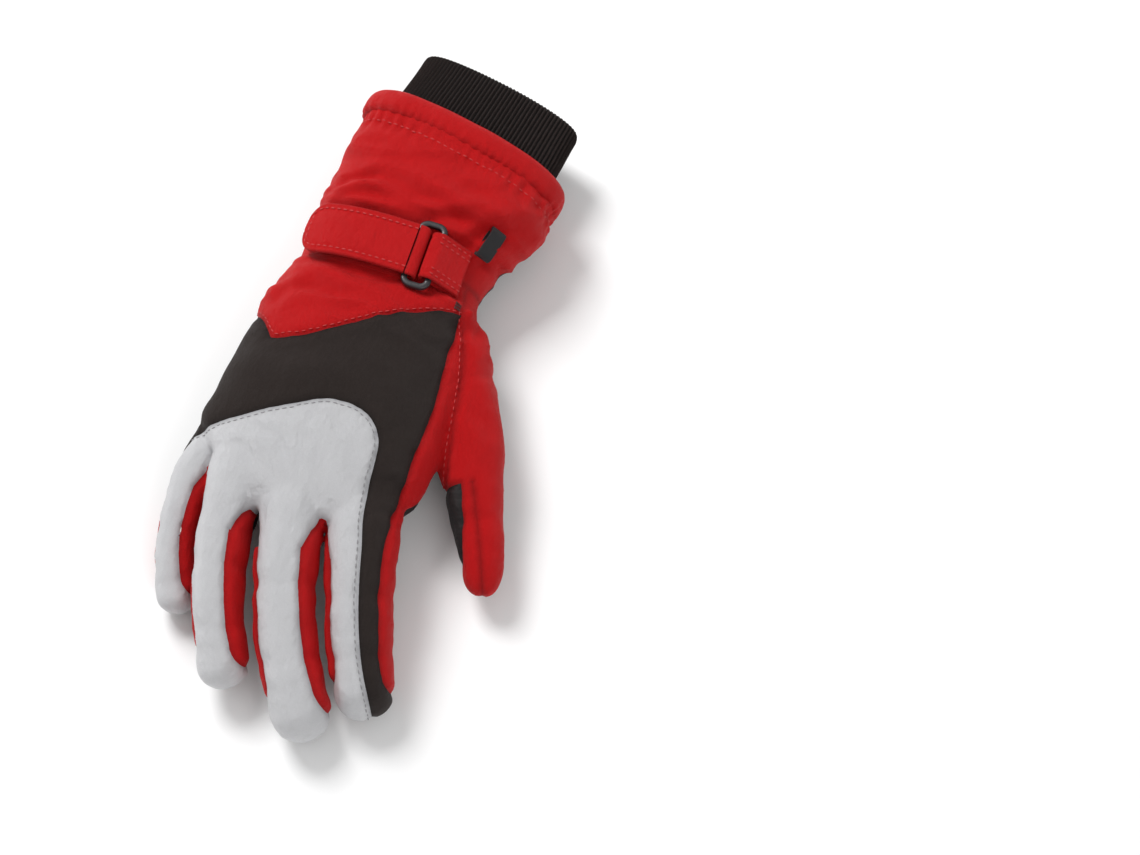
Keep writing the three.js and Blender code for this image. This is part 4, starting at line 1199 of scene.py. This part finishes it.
loopLow, loopHigh = (1000 * np.array(c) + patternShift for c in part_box("hang_loop"))
loop = {"width": 7.0, "length": 14.0, "high": 4.4, "wall": 1.2, "centre": (loopLow + loopHigh) / 2}
loopRight = np.array([0.807, -0.0564, -0.5878])
loopForward = np.array([0.2843, 0.9096, 0.3031])
loopUp = np.cross(loopRight, loopForward)
loopPath = []
loopRound = loop["high"] / 2 - loop["wall"] / 2
for end, begin in ((1, -90), (-1, 90)):
    for step in range(14):
        angle = math.radians(begin + 180 * step / 13)
        reach = (loop["length"] - loop["high"]) / 2 + abs(math.cos(angle)) * loopRound
        loopPath.append(loop["centre"] + loopForward * end * reach + loopUp * math.sin(angle) * loopRound)
loopPath = np.array(loopPath)
loopRun = unit(np.roll(loopPath, -1, 0) - np.roll(loopPath, 1, 0))
loopOut = np.cross(loopRun, loopRight)
cells = np.array([(-1, -1), (-0.5, -1), (0.5, -1), (1, -1), (1, 1), (0.5, 1), (-0.5, 1), (-1, 1)], float)
cells[[0, 3, 4, 7], 0] *= 0.98
loopPoints = loopPath[:, None] + (cells[:, 0] * loop["width"] / 2)[None, :, None] * loopRight
loopPoints = loopPoints + (cells[:, 1] * loop["wall"] / 2)[None, :, None] * loopOut[:, None]
loopFaces = gridFaces(len(loopPath), len(cells), True, True)
loopPiece = makePiece("hang_loop", loopPoints.reshape(-1, 3), loopFaces, "webbing", smooth=False)
turnFacesOut(loopPiece.data)
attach(loopPiece, "hang_loop")
print("strap made")


# Palm patch and the wrist's elastic.
patchValues = besideLine(points, patchOutline)
patchData, patchTris, patchLabels, inside = cutAlong(
    np.concatenate([puffed, data[:, 3:]], 1), tris, labels, patchValues, np.ones(len(tris), bool),
)
patchNormals = normalsOf(patchData[:, :3], patchTris)
chosen = patchTris[inside & (patchData[patchTris[:, 0], 2] < 12) & (patchNormals[patchTris[:, 0], 2] < -0.3)]
used, flat = np.unique(chosen, return_inverse=True)
local = flat.reshape(-1, 3)
rim, _ = boundaryLoops(local)
count = len(used)
under = patchData[used, :3] + patchNormals[used] * 0.25
over = patchData[used, :3] + patchNormals[used] * 1.2
faces = np.concatenate([local, local[:, ::-1] + count]).tolist()
faces += [[b, a, a + count, b + count] for a, b in rim]
patchPiece = makePiece("palm_patch", np.concatenate([over, under]), faces, "grip")
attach(patchPiece, "glove")
declareSheet(patchPiece, (0.056, 0.068))

elastic = {"centre": (-2.7, 56.0, 21.0), "half": 35.7, "high": 18.5, "width": 9.0, "wall": 0.8, "lowest": 3.7,
           "steps": 90}
elasticTurn = np.radians(np.linspace(165, 375, elastic["steps"]))
elasticAcross = bulged(np.cos(elasticTurn), 0.8) * elastic["half"]
elasticRise = bulged(np.sin(elasticTurn), 0.8) * elastic["high"]
elasticPath = np.stack([
    elastic["centre"][0] + elasticAcross,
    np.full(elastic["steps"], elastic["centre"][1]),
    np.maximum(elastic["centre"][2] + elasticRise, elastic["lowest"]),
], 1)
elasticPiece, _ = ribbon(
    "wrist_elastic", elasticPath, (0, 1, 0), elastic["width"] / 2, elastic["wall"], "elastic",
    dome=0.0, cells=10,
)
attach(elasticPiece, "glove")


# Stitches.
def stitchTree(finish):
    tree = bpy.data.node_groups.new("stitchRow", "GeometryNodeTree")
    tree.interface.new_socket("Geometry", in_out="INPUT", socket_type="NodeSocketGeometry")
    for label, value in (("Pitch", 0.003), ("Length", 0.002), ("Thickness", 0.0005)):
        tree.interface.new_socket(label, in_out="INPUT", socket_type="NodeSocketFloat").default_value = value
    tree.interface.new_socket("Seed", in_out="INPUT", socket_type="NodeSocketInt").default_value = 4
    tree.interface.new_socket("Geometry", in_out="OUTPUT", socket_type="NodeSocketGeometry")

    def add(kind, settings=None, inputs=None):
        made = tree.nodes.new(kind)
        for key, value in (settings or {}).items():
            setattr(made, key, value)
        for key, value in (inputs or {}).items():
            if isinstance(value, bpy.types.NodeSocket):
                tree.links.new(value, made.inputs[key])
            else:
                made.inputs[key].default_value = value
        return made

    entry = add("NodeGroupInput").outputs
    curve = add("GeometryNodeMeshToCurve", {}, {"Mesh": entry["Geometry"]}).outputs["Curve"]
    row = add("GeometryNodeResampleCurve", {"mode": "LENGTH"}, {"Curve": curve, "Length": entry["Pitch"]})
    tangent = add("GeometryNodeInputTangent").outputs["Tangent"]
    turned = add("FunctionNodeAlignRotationToVector", {"axis": "X"}, {"Vector": tangent}).outputs["Rotation"]
    bead = add("GeometryNodeMeshUVSphere", {}, {"Segments": 6, "Rings": 4, "Radius": 0.5}).outputs["Mesh"]
    thickness = entry["Thickness"]
    size = add("ShaderNodeCombineXYZ", {}, {"X": entry["Length"], "Y": thickness, "Z": thickness})
    vary = add("FunctionNodeRandomValue", {"data_type": "FLOAT"}, {"Seed": entry["Seed"]})
    vary.inputs[2].default_value, vary.inputs[3].default_value = 0.88, 1.08
    scaled = add("ShaderNodeVectorMath", {"operation": "SCALE"}, {0: size.outputs[0]})
    tree.links.new(vary.outputs[1], scaled.inputs["Scale"])
    placed = add("GeometryNodeInstanceOnPoints", {}, {
        "Points": row.outputs["Curve"], "Instance": bead, "Rotation": turned, "Scale": scaled.outputs[0],
    })
    solidRow = add("GeometryNodeRealizeInstances", {}, {"Geometry": placed.outputs["Instances"]})
    dyed = add("GeometryNodeSetMaterial", {}, {
        "Geometry": solidRow.outputs["Geometry"], "Material": finishes[finish],
    })
    shaded = add("GeometryNodeSetShadeSmooth", {}, {0: dyed.outputs["Geometry"]})
    leave = add("NodeGroupOutput")
    tree.links.new(shaded.outputs[0], leave.inputs["Geometry"])
    return tree


def stitchRow(name, paths, finish, pitch=3.0, length=2.0, thick=0.5):
    # Rows of stitches along these lines of points, made into one piece.
    points, pairs = [], []
    for path in paths:
        pairs += [(len(points) + i, len(points) + i + 1) for i in range(len(path) - 1)]
        points += list(path)
    if not pairs:
        print("no stitches for", name)
        return None
    line = bpy.data.meshes.new(name + "Line")
    line.from_pydata(setDown(points).tolist(), pairs, [])
    holder = bpy.data.objects.new(name + "Line", line)
    bpy.context.scene.collection.objects.link(holder)
    rows = holder.modifiers.new("rows", "NODES")
    rows.node_group = stitchTree(finish)
    wanted = {"Pitch": pitch / 1000, "Length": length / 1000, "Thickness": thick / 1000, "Seed": 4}
    for item in rows.node_group.interface.items_tree:
        value = wanted.get(item.name)
        if item.in_out == "INPUT" and value is not None:
            rows[item.identifier] = value
    graph = bpy.context.evaluated_depsgraph_get()
    mesh = bpy.data.meshes.new_from_object(holder.evaluated_get(graph))
    bpy.data.objects.remove(holder)
    mesh.name = name
    piece = bpy.data.objects.new(name, mesh)
    bpy.context.scene.collection.objects.link(piece)
    return piece


def seamRows(name, beside, inset=1.8, lift=0.15):
    # The parts of a panel's edge that it shares with other panels, moved in on the surface.
    others = set()
    for other in beside:
        others |= set(np.unique(panelTris[other]).tolist())
    _, loops = boundaryLoops(panelTris[name])
    rows = []
    for loop in loops:
        flags = [i in others for i in loop]
        if len(loop) < 12 or not any(flags):
            continue
        begin = flags.index(False) if not all(flags) else 0
        loop, flags = loop[begin:] + loop[:begin], flags[begin:] + flags[:begin]
        run = []
        for i, flag in zip(loop + [loop[0]], flags + [False]):
            if flag:
                run.append(i)
            elif run:
                if len(run) > 10:
                    rows.append(run)
                run = []
    result = []
    for run in rows:
        base = points[run]
        kernel = np.ones(7) / 7
        padded = np.concatenate([base[:1].repeat(3, 0), base, base[-1:].repeat(3, 0)])
        base = np.stack([np.convolve(padded[:, i], kernel, "valid") for i in range(3)], 1)
        heading = unit(np.gradient(base, axis=0))
        inward = unit(np.cross(normals[run], heading))
        moved = base + inward * inset
        kept = []
        for p in moved:
            place, normal, _, _ = skinTree.find_nearest(Vector(p))
            spot = np.array(place) + np.array(normal) * lift
            if not kept or np.linalg.norm(spot - kept[-1]) > 0.5:
                kept.append(spot)
        if len(kept) > 4:
            result.append(np.array(kept))
    return result


handRows = {
    "silver_stitches": ("greyThread", seamRows("silver_back_panel", ["black_back_panel"], 1.7)),
    "yoke_stitches": ("redThread", seamRows("wrist_yoke", ["black_back_panel"], 1.6)),
    "side_stitches": ("redThread", seamRows("thumb_side_panel", ["thumb_root"], 1.6)),
}
for name, (finish, rows) in handRows.items():
    piece = stitchRow(name, rows, finish, 2.9, 2.1, 0.5)
    if piece:
        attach(piece, "glove")
fingerRows = seamRows("index_back", ["index_stripe"], 1.6)
piece = stitchRow("index_stitches", fingerRows, "greyThread", 2.9, 2.1, 0.5)
if piece:
    bendsWith(piece)


def tailStitches():
    centres = inPlane(tailPath)
    inset = strapSeam
    first = int(np.argmax(tailLength > inset))
    lift = (strap["wall"] + 0.5) / 2 + 0.15
    y = np.maximum(tailHalf - inset, 0.1)
    shift = np.stack([0 * y, y, 0 * y], 1)
    left = (centres + tailUp * lift + shift)[first:-3]
    right = (centres + tailUp * lift - shift)[first:-3]
    end = np.array([centres[first] + tailUp[first] * (lift + 0.2) + np.array([0, s, 0])
                    for s in np.linspace(-y[first], y[first], 14)])
    return [np.concatenate([right[::-1], end, left])]


piece = stitchRow("tail_stitches", tailStitches(), "redThread", 2.8, 2.0, 0.6)
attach(piece, "strap_tail")
tabLift = strap["wall"] / 2 + 0.2
tabRows = []
for inset, lift in zip(tabSeam, (tabLift, tabLift + 0.05)):
    reach = strap["tabWidth"] / 2 - inset
    tabRows += [inPlane(tabUpper) + np.array([0, side * reach, lift]) for side in (-1, 1)]
piece = stitchRow("tab_stitches", tabRows, "redThread", 2.8, 2.0, 0.6)
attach(piece, "glove")
hemLine = []
for p in mouthRing(-0.4, 200, -10.5):
    place, normal, _, _ = skinTree.find_nearest(Vector(p))
    hemLine.append(np.array(place) + np.array(normal) * 0.1)
piece = stitchRow("hem_stitches", [np.array(hemLine + hemLine[:1])], "redThread", 3.1, 2.2, 0.5)
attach(piece, "glove")
bartack = []
tackAt = np.array([29.0, 49.5])
for i in range(5):
    px = tackAt[0] - 1.2 + i * 0.5
    pys = tackAt[1] + np.linspace(-1.2, 1.2, 4)
    bartack.append(np.array([[px, py, surfaceTop(px, py) + 0.25] for py in pys]))
piece = stitchRow("bar_tack", bartack, "darkThread", 1.1, 1.4, 0.5)
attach(piece, "glove")
print("stitches made")

# Table, light and camera.
tableReach, tableTop = 3, -0.0004
tableCorners = [(x * tableReach, y * tableReach, tableTop) for x, y in ((-1, -1), (1, -1), (1, 1), (-1, 1))]
ground = bpy.data.meshes.new("ground")
ground.from_pydata(tableCorners, [], [(0, 1, 2, 3)])
floor = bpy.data.objects.new("ground", ground)
bpy.context.scene.collection.objects.link(floor)
paper = Finish("paper")
floor.data.materials.append(paper.finish(Base_Color=(0.92, 0.92, 0.92, 1), Roughness=0.9))

world = bpy.data.worlds.new("studio")
bpy.context.scene.world = world
world.use_nodes = True
world.node_tree.nodes["Background"].inputs["Color"].default_value = (1.0, 1.0, 1.0, 1)
world.node_tree.nodes["Background"].inputs["Strength"].default_value = 0.5


def softLight(name, place, aim, size, power):
    data = bpy.data.lights.new(name, "AREA")
    data.size = size
    data.energy = power
    lamp = bpy.data.objects.new(name, data)
    lamp.location = place
    lamp.rotation_euler = (Vector(aim) - Vector(place)).to_track_quat("-Z", "Y").to_euler()
    bpy.context.scene.collection.objects.link(lamp)


softLight("keyLight", (-0.8, 0.55, 1.1), (0, 0, 0), 0.6, 19)
softLight("fillLight", (0.9, -0.8, 1.0), (0, 0, 0), 1.0, 6)

azimuth, elevation, distance = math.radians(18.5), math.radians(67), 0.8
flatReach = math.cos(elevation)
back = Vector((math.sin(azimuth) * flatReach, -math.cos(azimuth) * flatReach, math.sin(elevation)))
target = Vector((0, 0, 0.020))
cameraData = bpy.data.cameras.new("camera")
cameraData.lens = 61.6
cameraData.sensor_width = 36
camera = bpy.data.objects.new("camera", cameraData)
camera.location = target + back * distance
sideways = Vector((math.cos(azimuth), math.sin(azimuth), 0))
upward = back.cross(sideways)
frameAxes = Matrix((sideways, upward, back)).transposed()
turned = Euler((math.radians(-1.25), math.radians(-5.385), 0)).to_matrix()
camera.rotation_euler = (frameAxes @ turned).to_euler()
bpy.context.scene.collection.objects.link(camera)
bpy.context.scene.camera = camera
bpy.context.scene.view_settings.view_transform = "Standard"
